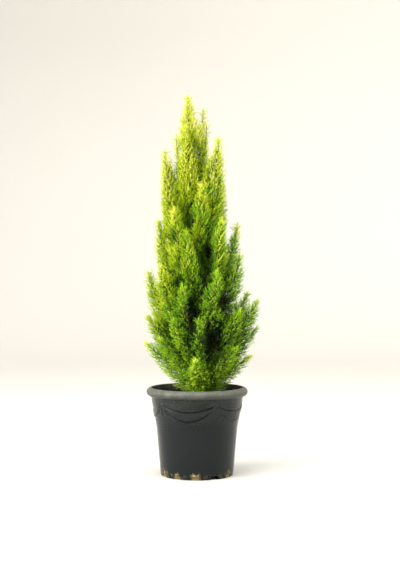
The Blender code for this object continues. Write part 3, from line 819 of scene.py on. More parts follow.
def fillerBranches(chance):
    # branches to places that lie between the plumes, with more of the crown further out from the trunk.
    # Each grows from the limb point that is nearest and low enough.
    s = fillerSettings
    lowest, rise, power = s["heights"]
    height = (lowest + rise * chance.uniform(0, 1, s["tries"]) ** power) * mm
    outward = polar(1.0, chance.uniform(0, 2 * np.pi, s["tries"]), 0.0)
    farthest, loss = s["reach"]
    reach = farthest * mm * np.sqrt(chance.uniform(0, 1, s["tries"])) * (1 - loss * crownLevel(height))
    tip = trunkPoint(height) + outward * reach[:, None]
    depths = [plumeDistances(tip + (outward + s["stepRise"] * upward) * step * mm).min(axis=1)
              for step in s["steps"]]
    covered = np.min(depths, axis=0) < -s["cover"] * mm
    chosen = (plumeDistances(tip).min(axis=1) > -s["deepest"] * mm) & covered & isOpen(tip)
    tip, outward, height = tip[chosen], outward[chosen], height[chosen]
    gap = tip[:, None] - linePoints[None]
    distance = np.linalg.norm(gap, axis=2)
    cost = distance + s["belowCost"] * np.maximum(0, s["below"] * distance - gap[..., 2])
    nearest = np.argmin(cost, axis=1)
    ending = unit(upward + outward * blend(*s["endOut"], crownLevel(height))[:, None])
    return nearest // envelopeSamples, linePoints[nearest], tip, ending


def trunkBranches(chance):
    # short shoots straight from the trunk, which fill the middle of the crown
    s = shootSettings
    rank = (np.arange(s["count"]) + 0.5) / s["count"]
    fromFoot, fromTop = s["ends"]
    height = blend(trunkSettings["foot"][2] + fromFoot, trunkSettings["top"][2] + fromTop, rank) * mm
    outward = polar(1.0, np.arange(s["count"]) * goldenTurn, 0.0)
    reach = chance.uniform(*s["reach"], s["count"]) * mm * blend(*s["shrink"], rank)
    rise = reach * chance.uniform(*s["rise"], s["count"])
    root = trunkPoint(height)
    tip = root + outward * reach[:, None] + upward * rise[:, None]
    ending = unit(outward * s["endOut"] + upward)
    owner = np.argmin(np.linalg.norm(tip[:, None] - linePoints[None], axis=2), axis=1) // envelopeSamples
    keep = isClear(tip)
    return owner[keep], root[keep], tip[keep], ending[keep]


chance = np.random.default_rng(20)
branchSets = [limbBranches(chance, *values) for values in branchSettings["sets"]]
branchSets += [fillerBranches(chance), trunkBranches(chance)]
branchOwner, branchRoot, branchTip, branchEnding = map(np.concatenate, zip(*branchSets))
branchLength = np.linalg.norm(branchTip - branchRoot, axis=1)
branchBend = branchTip - branchEnding * (branchLength * branchSettings["curl"])[:, None]
print([len(part[0]) for part in branchSets],
      f"branches on {plumeCount} limbs, between them and on the trunk")


def growSprays(chance):
    # sprays go round each branch by the golden angle, shorter and closer to it towards its end. One more
    # ends it, and every limb carries its own. Gives back their roots, directions, lengths and ages.
    s = spraySettings
    room = branchLength * (1 - s["firstAt"]) / (s["spacing"] * mm)
    branch, nth, many = numbered(np.maximum(2, np.round(room)).astype(int))
    share = blend(s["firstAt"], 1, (nth + chance.uniform(*s["jitter"], len(branch))) / many)
    curve = branchRoot[branch], branchBend[branch], branchTip[branch], share
    pitch = np.radians(s["pitch"] - s["pitchLoss"] * share)
    pitch = pitch * chance.uniform(*s["pitchSpread"], len(branch))
    direction = leaning(curveHeading(*curve), pitch, nth * goldenTurn + branch * s["branchTurn"])
    length = chance.uniform(*s["length"], len(branch)) * mm * (1 - s["shrink"] * share**2)
    sides = curveAt(*curve), unit(direction + upward * s["lift"]), length, share

    count = len(branchTip)
    length = chance.uniform(*s["endLength"], count) * mm
    ends = branchTip, unit(branchTip - branchBend), length, np.ones(count)

    s = limbSpraySettings
    owner, nth, many = numbered(np.full(plumeCount, s["count"]))
    rank = (nth + 0.5) / many
    share = foliageShare(owner, rank ** s["crowding"])
    pitch = np.radians(blend(*s["pitch"], rank**2)) * chance.uniform(*s["pitchSpread"], len(owner))
    direction = leaning(limbHeading(owner, share), pitch, rank * many * goldenTurn)
    length = chance.uniform(*s["length"], len(owner)) * mm * blend(*s["shrink"], rank)
    tips = limbAt(owner, share), unit(direction + upward * s["lift"]), length, blend(*s["age"], rank**2)
    return map(np.concatenate, zip(sides, ends, tips))


def keepSprays(root, direction, length, age):
    # a spray whose end isn't clear is shortened, and dropped where even that doesn't help
    shorter = length * spraySettings["shortened"]
    full, short = (isClear(root + direction * size[:, None]) for size in (length, shorter))
    alive = (full | short) & isClear(root)
    return root[alive], direction[alive], np.where(full, length, shorter)[alive], age[alive]


sprayRoot, sprayDirection, sprayLength, sprayAge = keepSprays(*growSprays(chance))
print(f"{len(sprayRoot)} sprays grown")

daylightSettings = {
    "cell": 8.0,
    "steps": 14,  # of one cell each, along a ray
    "rays": ((90, 1), (58, 6), (26, 9), (-4, 9)),  # degrees above level, and how many go round
    "rayTurn": 0.37,  # where the first of them points, as a share of the step between two
    "weight": (0.5, 0.5),  # of a ray: the first, and the second times the sine of its elevation
    "lowest": 10,  # degrees, the least elevation that counts there
    "shade": 4.2,  # square millimetres of shade that each millimetre of a spray casts
    "dead": 0.02,  # below this share of daylight many sprays have died off
    "deadKept": 0.5,
}


def daylight(points, shades):
    # the share of daylight that reaches each point: the mean of exp(-shade) over rays upward and outward,
    # shade being summed through a grid of cells that holds what every spray casts
    s = daylightSettings
    cell = s["cell"] * mm
    low = points.min(axis=0) - 2 * cell
    size = np.ceil((points.max(axis=0) + 2 * cell - low) / cell).astype(int)
    flat = np.ravel_multi_index(np.floor((points - low) / cell).astype(int).T, size)
    shade = np.bincount(flat, weights=shades, minlength=size.prod()).reshape(size)
    light, weight = np.zeros(len(points)), 0
    least, more = s["weight"]
    for elevation, turns in s["rays"]:
        steep = np.radians(elevation)
        share = least + more * np.sin(np.radians(max(elevation, s["lowest"])))
        for turn in range(turns):
            ray = polar(np.cos(steep), 2 * np.pi * (turn + s["rayTurn"]) / turns, np.sin(steep))
            passed = np.zeros(len(points))
            for step in range(1, s["steps"]):
                place = np.floor((points + ray * (step * cell) - low) / cell).astype(int)
                inside = np.all((place >= 0) & (place < size), axis=1)
                passed += shade[tuple(np.clip(place, 0, size - 1).T)] * inside
            light += share * np.exp(-passed)
            weight += share
    return light / weight


def sprayMiddles():
    return sprayRoot + sprayDirection * (sprayLength * spraySettings["middle"])[:, None]


def loseDeadSprays(chance):
    # each spray's daylight, and which sprays live: nearly all but those in the darkest middle
    s = daylightSettings
    light = daylight(sprayMiddles(), sprayLength / mm * s["shade"] / s["cell"] ** 2)
    alive = (light > s["dead"]) | (chance.uniform(0, 1, len(light)) < s["deadKept"])
    print("daylight", np.round(np.quantile(light, (0.05, 0.25, 0.5, 0.75, 0.95)), 3))
    return [values[alive] for values in (sprayRoot, sprayDirection, sprayLength, sprayAge, light)]


sprayRoot, sprayDirection, sprayLength, sprayAge, sprayLight = loseDeadSprays(chance)
print(f"{len(sprayRoot)} sprays")


def growNeedles(chance):
    # needles go round each spray in crossed pairs, leaning forward, shorter towards its tip
    s = needleSettings
    growth = 1 + s["shadeGrowth"] * ease(*s["shade"], sprayLight)
    room = sprayLength / (s["spacing"] * mm * growth)
    spray, nth, many = numbered(np.maximum(s["fewest"], np.round(room)).astype(int))
    isTip = nth == many - 1
    share = np.where(isTip, s["lastAt"], (nth + s["firstAt"]) / many)
    forward = sprayDirection[spray]
    roll = (nth // 2) * (np.pi / 2) + (nth % 2) * np.pi + spray * 0.9
    roll = roll + chance.uniform(*s["rollJitter"], len(spray))
    most, loss = s["pitchLoss"]
    pitch = np.radians(s["pitch"] * (most - loss * share))
    pitch = np.where(isTip, s["lastPitch"], pitch * chance.uniform(*s["pitchSpread"], len(spray)))
    lean = unit(leaning(forward, pitch, roll) + upward * s["lift"])
    most, loss = s["shrink"]
    size = s["length"] * mm * growth[spray] * (most - loss * share)
    size = size * chance.uniform(*s["lengthSpread"], len(spray))
    root = sprayRoot[spray] + forward * (sprayLength[spray] * share)[:, None]
    return spray, root, lean, squareTo(forward, roll), size


needleSpray, needleRoot, needleLean, needleOut, needleSize = growNeedles(chance)
print(f"{len(needleSpray)} needles")

# the foliage's colours, whose dark ranks are partly inner growth and partly painted shade: base colour,
# rank of light from 0, the deep shade, and whether it is the yellower of the two colours that a rank may
# have
leafTints = {
    "darkGreen": ("#12260F", 0, 0),
    "shadeGreen": ("#2B4B13", 1, 0),
    "deepGreen": ("#527B17", 2, 0),
    "midGreen": ("#7AA81E", 3, 0),
    "midLime": ("#8EB01A", 3, 1),
    "freshGreen": ("#90BE20", 4, 0),
    "freshLime": ("#A9C81E", 4, 1),
    "brightGreen": ("#A8D028", 5, 0),
    "lemon": ("#BACF1E", 5, 1),
    "lemonTip": ("#E4EA54", 6, 0),
}
tintSettings = {
    "shares": (0.09, 0.11, 0.16, 0.22, 0.22, 0.14, 0.06),  # of the sprays, for each rank of light
    "level": 0.42,  # higher up the sprays are brighter
    "levelPower": 1.6,
    "foot": 0.19,  # and at the crown's foot, which spreads over the pot's rim
    "footLevels": (0.19, 0.06),
    "paintedSideLight": 0.045,  # and on the left, which faces the key lamp: painted light
    "halfCrown": 150.0,
    "age": 0.06,  # and towards the end of a branch
    "patch": 0.07,
    "patchSize": 26.0,
    "clumpSize": 14.0,  # sprays of one clump have grown in much the same light
    "clumpShare": 0.65,
    "spray": 0.02,
    "seam": 0.12,  # and away from where two plumes meet, so that painted shade lies between them
    "seamReach": 24.0,
    "cleftShade": 0.52,  # but much darker in the clefts and just round them: painted shade
    "cleftReach": 1.35,
    "warmLitSide": 0.42,  # and yellower, by the same height and side, the side's share being painted light
    "warmPatch": 0.16,
    "warmSize": 34.0,
    "warmFrom": 0.54,
    "leafShades": ((0.87, 0.90, 0.84, 1.0), (1.12, 1.10, 1.14, 1.0)),  # of one tint, from leaf to leaf
}


def neighbourMean(points, values, size):
    # the mean of the values in each cell of that size, read between the cells' middles as softNoise does
    low = points.min(axis=0) - size
    place = (points - low) / size
    cell = np.floor(place).astype(int)
    shape = cell.max(axis=0) + 3
    flat = np.ravel_multi_index(cell.T, shape)
    total, count = (np.bincount(flat, weights=each, minlength=shape.prod()) for each in (values, None))
    cell = np.floor(place - 0.5).astype(int)
    inside = place - 0.5 - cell
    summed, weights = 0, 0
    for corner in np.ndindex(2, 2, 2):
        share = np.prod(np.where(corner, inside, 1 - inside), axis=-1)
        near = np.ravel_multi_index((cell + np.array(corner)).T, shape)
        summed = summed + share * total[near]
        weights = weights + share * count[near]
    return summed / np.maximum(weights, 1e-9)


def sprayTints(chance):
    # each spray's rank by the light it has grown in, its height, its side and its age, cut by the ranks'
    # shares, and its yellowness by height and side. Its rank by light is partly the greener inner growth
    # and partly painted shade, its side brings painted light from the key lamp on the left, and clefts and
    # seams get painted shade
    s = tintSettings
    middle = sprayMiddles()
    light = blend(sprayLight, neighbourMean(middle, sprayLight, s["clumpSize"] * mm), s["clumpShare"])
    level = crownLevel(middle[:, 2])
    # painted light: the crown's left, which faces the key lamp, gets brighter and yellower tints
    side = -middle[:, 0] / (s["halfCrown"] * mm)
    value = (light + s["level"] * level ** s["levelPower"] + s["foot"] * ease(*s["footLevels"], level)
             + s["paintedSideLight"] * side + s["age"] * sprayAge**2
             + s["patch"] * softNoise(middle, s["patchSize"] * mm, 8)
             + s["spray"] * chance.uniform(-1, 1, len(sprayLight)))
    # painted shade where two plumes meet: brighter tints away from the seam between them
    nearest = np.partition(plumeDistances(middle), 1, axis=1)
    value = value + s["seam"] * ease(0, s["seamReach"] * mm, nearest[:, 1] - nearest[:, 0])
    # painted shade: the tints darken in and round the clefts
    inCleftShade = bell(cleftDistances(middle) ** 2, s["cleftReach"] ** 2)
    value = value * (1 - s["cleftShade"] * inCleftShade).min(axis=1)
    rank = np.searchsorted(np.quantile(value, np.cumsum(s["shares"])[:-1]), value)
    patches = softNoise(middle, s["warmSize"] * mm, 12)
    warm = level + s["warmLitSide"] * side + s["warmPatch"] * patches > s["warmFrom"]
    table = np.zeros((len(s["shares"]), 2), int)
    for index, values in enumerate(leafTints.values()):
        table[values[1], values[2]:] = index
    return table[rank, warm.astype(int)]


def leafMaterial(name, colour):
    # scale leaves of a golden cypress: soft and matt with a thin wax. Patches about 3 mm across make
    # each a little lighter or yellower than the next.
    material, tree, shader, place = newMaterial(name, Roughness=0.6, Specular_IOR_Level=0.12)
    patches = addNode(tree, "TexNoise", {"Vector": place, "Scale": 330, "Detail": 1})
    spread = addNode(tree, "MapRange", (patches, 0.3, 0.7))
    shades = np.minimum(linearColour(colour) * np.array(tintSettings["leafShades"]), 1)
    mixed = addNode(tree, "Mix", {0: spread, 6: shades[0], 7: shades[1]}, **mixColours)
    plug(tree, shader, Base_Color=mixed)
    return material


def needleMesh(chosen):
    # a flat kite with a keel: root and point on the needle's line, two side corners lifted a little.
    # The four corners close into four triangles.
    s = needleSettings
    root, lean, outward = needleRoot[chosen], needleLean[chosen], needleOut[chosen]
    size = needleSize[chosen][:, None]
    side = unit(np.cross(lean, outward))
    half = s["width"] * mm / 2 * (size / (s["length"] * mm)) ** s["widthPower"]
    middle = root + lean * size * s["widestAt"] + np.cross(lean, side) * s["thickness"] * mm
    corners = np.stack((root, root + lean * size, middle + side * half, middle - side * half), axis=1)
    return corners, [copies(np.array(((0, 3, 2), (2, 3, 1), (0, 2, 1), (0, 1, 3))), len(root), 4)]


def buildNeedles(chance):
    # each tint's needles become one or more pieces
    tint = sprayTints(chance)
    for index, (name, values) in enumerate(leafTints.items()):
        material = leafMaterial(f"{name}Scales", values[0])
        chosen = np.nonzero(tint[needleSpray] == index)[0]
        parts = max(1, int(np.ceil(len(chosen) * 4 / needleSettings["mostFaces"])))
        for number, part in enumerate(np.array_split(chosen, parts)):
            newPiece(f"needles_{name}_{number + 1}", *needleMesh(part), material, "cypress_foliage",
                     foliageNodes)


buildNeedles(chance)


def twigMaterial(name, colour, dark):
    # young shoots are smooth and green, older ones turn brown and dry, in patches of 4 mm
    material, tree, shader, place = newMaterial(name, Roughness=0.7)
    patches = addNode(tree, "TexNoise", {"Vector": place, "Scale": 260, "Detail": 2})
    plug(tree, shader, Base_Color=addNode(tree, "Mix", {0: patches, 6: dark, 7: colour}, **mixColours))
    return material


def buildTwigs():
    # three-sided tubes: a branch has four rings, and each spray's own stem is a slim point
    share = np.linspace(0, 1, 4)[None, :] + np.zeros((len(branchTip), 1))
    points = curveAt(branchRoot[:, None], branchBend[:, None], branchTip[:, None], share)
    side = squareTo(branchEnding, branchOwner * 1.0)[:, None, :]
    grid = tubeGrid(points, side, blend(*branchSettings["radii"], share) * mm, 3)
    newPiece("branchStems", grid, closedTubes(grid),
             twigMaterial("brownCypressTwig", "#5C5A26", "#33260F"), "cypress_bark", foliageNodes)

    across = squareTo(sprayDirection, np.arange(len(sprayRoot)) * 1.0)
    base = sprayRoot[:, None] + spokes(sprayDirection, across, 3) * spraySettings["radius"] * mm
    tip = (sprayRoot + sprayDirection * sprayLength[:, None])[:, None]
    faces = copies(np.array(((2, 1, 0), (0, 1, 3), (1, 2, 3), (2, 0, 3))), len(base), 4)
    newPiece("sprayStems", np.concatenate((base, tip), axis=1), [faces],
             twigMaterial("greenCypressTwig", "#6F8426", "#3E5818"), "cypress_foliage", foliageNodes,
             smooth=False)


buildTwigs()
print("foliage ready")


# pot

potSettings = {
    "height": 240.0,
    "rimRadius": 140.0,
    "rimDrop": 23.5,
    "rollMiddle": 127.0,  # the lip is rolled over this radius, as half an ellipse
    "rollHalf": 12.2,
    "rollEnd": -60.0,  # degrees below level, where the rolled sheet ends
    "bandRadius": 127.6,
    "waistRadius": 112.3,
    "waistHeight": 133.0,
    "footRadius": 99.8,
    "footRound": 2.0,
    "wall": 2.1,
    "floor": 3.0,
    "columns": 560,
    # thin moulded plastic is a little wavy: swing, waves round the pot, phase, and height of one radian
    "waves": ((0.35, 3, 0.6, np.inf), (0.2, 7, 2, np.inf), (0.12, 13, 0, 19)),
    "shrink": 0.4,  # how much the waves' middle lies inside the plain shape
    # the mould's seam in the lip: degrees round from +X, width, and what it lowers and draws in
    "seam": (-87.6, 2.4, 1.7, 0.8),
    "seamHeights": (233, 219),  # between these it comes to lower the lip in full
}
lipBottom = potSettings["height"] - potSettings["rimDrop"]
notchSettings = {
    "count": 12,
    "width": 22.0,
    "height": 10.0,
    "round": 4,
    "reach": (91.0, 110.0),
    "turn": -92.0,
}
swagSettings = {
    "count": 5,
    "turn": -102.3,  # degrees round from +X, the middle of the swag that faces the camera
    "radius": 121,  # of the pot at the swags' height
    "topLine": (200.0, 182.5),  # height at its ends and in its middle
    "lowLine": (197.0, 157.3),
    "groove": (1.8, 2.0),  # depth, and half of its width
    "puff": 1.8,
    "puffEdge": (0.5, 4),  # it begins so far outside the grooves and is full so far inside them
    "lastsTo": (0.86, 0.70),  # share of the half swag where the top and the low line begin to fade
    "fade": 0.18,
    "cords": ((202.0, 190.5), (204.5, 195.5), (207.0, 201.0)),  # height at the ends and in the middle
    "cord": (0.6, 1.1),  # how high it stands, and half of its width
    "cordGroove": (0.6, 2.4),  # the groove over it: its depth as a share of that, and how far over it
    "cordEnds": (0.9, 0.6),
    "rosette": (1.9, 7.0, 198.5),  # how high it stands, its radius, and the height of its middle
    "petals": (5, 0.18),  # their number, and their share of the radius
    "petalEdge": (0.8, -2.2),
    "heart": (1.1, 2.6, 1.0),  # the ring round the rosette's middle: depth, radius and width
    "ribbon": (1.4, 30.0, 3),  # how high it stands, its length, and how far its ends fade
    "ribbonLine": (2.6, 0.30, 1.5, 4.6),  # how far aside it starts, its slope, its waves' swing and length
    "ribbonEdge": (3.4, 1.6),
    "ribbonFold": 0.8,  # depth and width
    "rings": (147.2, 141.0),  # heights of two fine rings above the waist
    "ring": (0.7, 1.1),
    "tabs": (-94.3, -90.6),  # degrees round from +X of the two nubs under the lip
    "tab": (1.6, 212.0, 0.8),  # how high they stand, their middle's height, their width over their height
    "tabEdge": (2.6, 1.2),
    "fadesOver": (5, 3),  # where the moulding begins over the waist, and where it ends under the lip
}


def wallRadius(height):
    # a plain cone below the waist and a flared band above it
    s = potSettings
    below = blend(s["footRadius"], s["waistRadius"], height / s["waistHeight"])
    share = (height - s["waistHeight"]) / (lipBottom - s["waistHeight"])
    return np.where(height < s["waistHeight"], below, blend(s["waistRadius"], s["bandRadius"], share))


def arc(centre, radius, start, end, steps):
    # points of a round corner, or of an ellipse's where there are two radii, angles in degrees
    angles = np.radians(np.linspace(start, end, steps))
    return centre + np.stack((np.cos(angles), np.sin(angles)), axis=-1) * radius


def line(start, end, steps):
    # evenly spaced points from start towards end, leaving out the end itself
    return blend(np.array(start), np.array(end), np.linspace(0, 1, steps, endpoint=False)[:, None])


def lipRoll(depth, start, end, steps):
    # points on the rolled lip's outside, or that deep under it: part of an ellipse
    s = potSettings
    radii = np.array((s["rimRadius"] - s["rollMiddle"], s["rollHalf"])) - depth
    return arc((s["rollMiddle"], s["height"] - s["rollHalf"]), radii, start, end, steps)


def onWall(height, depth=0.0):
    # a point of the wall at that height, so far inside its outer face
    return float(wallRadius(height)) - depth, height


def potProfile():
    # from the middle of the underside out, up the outside, round the rolled lip and down the inside,
    # each part with its number of points
    s = potSettings
    wall, waist, roundness, rollEnd = s["wall"], s["waistHeight"], s["footRound"], s["rollEnd"]
    foot = onWall(roundness, roundness)
    under = lipRoll(wall, 68, rollEnd, 8)
    mouth = s["rollMiddle"] - wall / 2
    return np.concatenate((
        line((20, 0), (foot[0], 0), 3),
        arc(foot, roundness, -90, -6, 5),
        line(onWall(4.5), onWall(12), 5),
        line(onWall(12), onWall(waist), 14),
        line(onWall(waist), onWall(lipBottom), 78),
        line(onWall(lipBottom), (s["bandRadius"] + 0.5, under[0, 1] - 1), 3),
        under,
        arc(lipRoll(wall / 2, rollEnd, rollEnd, 1)[0], wall / 2, rollEnd + 210, rollEnd + 330, 3),
        lipRoll(0, rollEnd + 8, 90, 20),
        arc((mouth + 1.2, s["height"] - 1.5), 1.4, 105, 180, 4),
        line((mouth - 0.4, s["height"] - 5), onWall(lipBottom, wall), 3),
        line(onWall(lipBottom, wall), onWall(waist, wall), 5),
        line(onWall(waist, wall), onWall(6, wall), 4),
        line(onWall(6, wall), onWall(s["floor"], 2 * wall), 2),
        line(onWall(s["floor"], 2 * wall), (20, s["floor"]), 3),
    ))


def hangingLine(share, height, ends, middle):
    # height above a line that hangs from its ends as a parabola, corrected for the line's slope
    halfWidth = np.pi / swagSettings["count"] * swagSettings["radius"]
    lineHeight = middle + (ends - middle) * share**2
    slope = 2 * (ends - middle) * share / halfWidth
    return (height - lineHeight) / np.sqrt(1 + slope**2)


def bandRelief(angle, height):
    # moulded festoons: a soft crescent between two incised hanging lines under three fine cords,
    # and rosettes with ribbons where the festoons meet. It fades out at the waist and under the lip.
    s = swagSettings
    period = 2 * np.pi / s["count"]
    local = (angle - np.radians(s["turn"]) + period / 2) % period - period / 2
    share = 2 * local / period
    radius = wallRadius(height)
    top, low = (hangingLine(share, height, *s[name]) for name in ("topLine", "lowLine"))
    onTop, onLow = (ease(first + s["fade"], first, np.abs(share)) for first in s["lastsTo"])
    depth, width = s["groove"]
    begin, full = s["puffEdge"]
    relief = s["puff"] * ease(-begin, full, low) * ease(begin, -full, top) * onTop
    relief = relief - depth * bell(top, width) * onTop - depth * bell(low, width) * onLow
    high, width, grooved, above = *s["cord"], *s["cordGroove"]
    for ends in s["cords"]:
        cord = hangingLine(share, height, *ends)
        both = bell(cord, width) - grooved * bell(cord - above, width)
        relief += high * both * ease(*s["cordEnds"], np.abs(share))
    high, size, middle = s["rosette"]
    aside, up = (np.abs(local) - period / 2) * radius, height - middle
    fromRosette = np.hypot(aside, up)
    number, lobes = s["petals"]
    petals = size * (1 + lobes * np.cos(number * np.arctan2(up, aside)))
    relief += high * ease(*(petals + edge for edge in s["petalEdge"]), fromRosette)
    depth, ring, width = s["heart"]
    relief -= depth * bell(fromRosette - ring, width)
    high, length, fade = s["ribbon"]
    onRibbon = ease(fade, 2 * fade, -up) * ease(length, length - fade, -up)
    start, spread, swing, wave = s["ribbonLine"]
    fromRibbon = np.abs(np.abs(aside) - (start - spread * up + swing * np.sin(-up / wave)))
    relief += high * onRibbon * ease(*s["ribbonEdge"], fromRibbon)
    relief -= s["ribbonFold"] * onRibbon * bell(fromRibbon, s["ribbonFold"])
    for ring in s["rings"]:
        relief -= s["ring"][0] * bell(height - ring, s["ring"][1])
    high, middle, flat = s["tab"]
    for turn in s["tabs"]:
        away = np.hypot((angle - np.radians(turn % 360)) * radius, (height - middle) * flat)
        relief += high * ease(*s["tabEdge"], away)
    waist, (atWaist, atLip) = potSettings["waistHeight"], s["fadesOver"]
    return relief * (ease(waist, waist + atWaist, height) * ease(lipBottom, lipBottom - atLip, height))


def potSurface():
    # the turned profile, with the relief on its band, a dip in the lip at the mould's seam and the waves
    s = potSettings
    profile = potProfile()
    angle = evenTurns(s["columns"])[None, :]
    radius, height = profile[:, :1], profile[:, 1:]
    rows = np.arange(len(profile))[:, None]
    outsideEnd = int(np.argmax(profile[:, 1] >= lipBottom - 0.01))
    onBand = (rows <= outsideEnd) & (height > s["waistHeight"])
    relief = np.where(onBand, bandRelief(angle, height + 0 * angle), 0)
    wave = sum(swing * np.sin(number * angle + phase + height / climb)
               for swing, number, phase, climb in s["waves"])
    turned = radius + relief + (wave - s["shrink"]) * ease(0, s["height"], height)
    turn, width, dip, inset = s["seam"]
    onLip = (rows > outsideEnd) & (radius > s["rollMiddle"] + 3)
    seam = np.where(onLip, bell((angle - np.radians(turn % 360)) * s["rimRadius"], width), 0)
    lowered = height + dip * seam * ease(*s["seamHeights"], height)
    return polar(turned - inset * seam, angle, lowered) * mm


# the pot's soil stains: the place of their middle and their reach in metres, and their strength
splashTable = (
    (-0.0035, -0.0997, 0.009, 0.017, 1.0),
    (-0.057, -0.082, 0.004, 0.019, 0.9),
    (-0.086, -0.053, 0.012, 0.016, 0.75),
    (0.085, -0.052, 0.009, 0.018, 0.7),
    (0.02, 0.098, 0.006, 0.02, 0.8),
)


def buildPotMaterial():
    # moulded black polypropylene: a soft gloss with a fine grain. Sun has bleached the rolled lip, dust
    # lies on it and thins out down the band, and soil has splashed and dried on the foot. Shade is painted
    # under the lip's roll and in the moulding's grooves.
    material, tree, shader, place = newMaterial("mouldedPolypropylene", IOR=1.49, Specular_IOR_Level=0.24)
    height = addNode(tree, "SeparateXYZ", (place,), "Z")
    # blotches of 25 mm and of 8 mm, grains of 1.5 mm, and run marks 5 mm wide and 70 mm long
    cloud, blotch, grain = (
        addNode(tree, "TexNoise", {"Vector": place, "Scale": scale, "Detail": detail, "Roughness": rough})
        for scale, detail, rough in ((38, 3, 0.55), (120, 4, 0.6), (700, 2, 0.6)))
    stretched = addNode(tree, "Mapping", {"Vector": place, "Scale": (1, 1, 0.07)})
    runs = addNode(tree, "TexNoise", {"Vector": stretched, "Scale": 200, "Detail": 2})
    plastic = addNode(tree, "Mix", {0: cloud, 6: "#04090B", 7: "#0A1517"}, **mixColours)
    # dust: a mottled coat on the lip, a film on the band that gathers in patches and in faint runs, and
    # painted shade in the moulding's grooves, where there is little of either
    moulded = addNode(tree, "Attribute", out="Fac", attribute_name="relief")
    # dust and painted shade: the lip's coat fades from its top towards the roll's underside
    onLip, onBand, amount, clouds, streaks, grooveShadeFactor = (addNode(tree, "MapRange", values) for values in (
        (height, 0.2150, 0.2315, 0.0, 0.32), (height, 0.135, 0.212, 0.0, 0.034),
        (blotch, 0.34, 0.66, 0.72, 1.0), (cloud, 0.35, 0.65, 0.8, 1.1), (runs, 0.40, 0.70, 0.85, 1.15),
        (moulded, -0.1, -0.8, 1.0, 0.1)))
    film = addNode(tree, "Math", (onLip, onBand), **greater)
    for factor in (clouds, film, streaks, grooveShadeFactor):
        amount = addNode(tree, "Math", (amount, factor), **multiply)
    dusted = addNode(tree, "Mix", {0: amount, 6: plastic, 7: "#A0A294"}, **mixColours)
    # light scuffs on what stands out, the lip's edge and the moulding, and little light in the grooves
    onTop = addNode(tree, "MapRange", (height, 0.15, 0.21, 0.0, 0.3))
    scuff = addNode(tree, "Math", (addNode(tree, "MapRange", (grain, 0.63, 0.74)), onTop), **multiply)
    scuffed = addNode(tree, "Mix", {0: scuff, 6: dusted, 7: "#A9AC9E"}, **mixColours)
    groove = addNode(tree, "MapRange", (moulded, -0.1, -0.9, 0.0, 0.6))
    shaded = addNode(tree, "Mix", {0: groove, 6: scuffed, 7: "#020404"}, **mixColours)
    # soil splashed on the foot, thickest below the drain holes that it has come out of
    soil = addNode(tree, "MapRange", (height, 0.016, 0.0, 0.0, 0.25))
    for *spot, reach, strength in splashTable:
        away = addNode(tree, "VectorMath", (place, spot), "Value", operation="DISTANCE")
        near = addNode(tree, "MapRange", (away, reach, reach * 0.3, 0.0, strength))
        soil = addNode(tree, "Math", (soil, near), **greater)
    soiled = addNode(tree, "Math", (soil, addNode(tree, "MapRange", (blotch, 0.50, 0.58))), **multiply)
    stained = addNode(tree, "Mix", {0: soiled, 6: shaded, 7: "#9C8A60"}, **mixColours)
    matt = addNode(tree, "Math", (amount, soiled), **greater)
    rough = addNode(tree, "MapRange", (matt, 0.0, 0.5, 0.24, 0.8))
    relief = addNode(tree, "Bump", {"Height": grain, "Strength": 0.3, "Distance": 0.0003})
    plug(tree, shader, Base_Color=stained, Roughness=rough, Normal=relief)
    return material


def notchCutters():
    # one mesh of arch-topped blocks, which cut the drain holes through the corner of the base
    s = notchSettings
    half, top, bend = s["width"] / 2, s["height"], s["round"]
    arch = np.concatenate((((half, -3.0),), arc((half - bend, top - bend), bend, 0, 90, 6),
                           arc((bend - half, top - bend), bend, 90, 180, 6), ((-half, -3.0),)))
    turns = np.radians(s["turn"] + 360 * np.arange(s["count"]) / s["count"])[:, None, None]
    reach = np.array(s["reach"])[:, None]
    grid = polar(reach, turns, 0.0) + polar(arch[:, 0], turns + np.pi / 2, arch[:, 1])
    sides, ends = closedTubes(grid)
    mesh = bpy.data.meshes.new("drainHoles")
    mesh.from_pydata((grid * mm).reshape(-1, 3).tolist(), [], sides.tolist() + ends.tolist())
    return addObject("drainHoles", mesh)


def markRelief(mesh):
    # the band's relief at each point, in millimetres, for the material: below 0 in the grooves
    places = np.empty(len(mesh.vertices) * 3, np.float32)
    mesh.vertices.foreach_get("co", places)
    x, y, height = places.reshape(-1, 3).T / mm
    relief = bandRelief(np.arctan2(y, x) % (2 * np.pi), height).astype(np.float32)
    mesh.attributes.new("relief", "FLOAT", "POINT").data.foreach_set("value", relief)


def buildPot():
    # the turned surface closed by two discs, with the drain holes cut out of it
    grid = potSurface()
    rows, columns = grid.shape[:2]
    points = np.concatenate((grid.reshape(-1, 3), ((0, 0, 0), (0, 0, potSettings["floor"] * mm))))
    index = np.arange(columns)
    after = np.roll(index, -1)
    last = (rows - 1) * columns
    under = np.stack((np.full(columns, rows * columns), after, index), axis=-1)
    floor = np.stack((np.full(columns, rows * columns + 1), last + index, last + after), axis=-1)
    pot = newPiece("nurseryPot", points, [wrapFaces(rows, columns), under, floor], buildPotMaterial(),
                   "nursery_plastic", ["pot"])
    cutter = notchCutters()
    holes = pot.modifiers.new("drainHoles", "BOOLEAN")
    holes.object = cutter
    holes.solver = "MANIFOLD"
    bpy.context.view_layer.update()
    cut = bpy.data.meshes.new_from_object(pot.evaluated_get(bpy.context.evaluated_depsgraph_get()))
    pot.modifiers.clear()
    pot.data = cut
    bpy.data.objects.remove(cutter)
    cut.shade_smooth()
    cut.set_sharp_from_angle(angle=np.radians(42))
    markRelief(cut)
    print(f"pot with its drain holes: {len(cut.polygons)} faces")


buildPot()


# compost

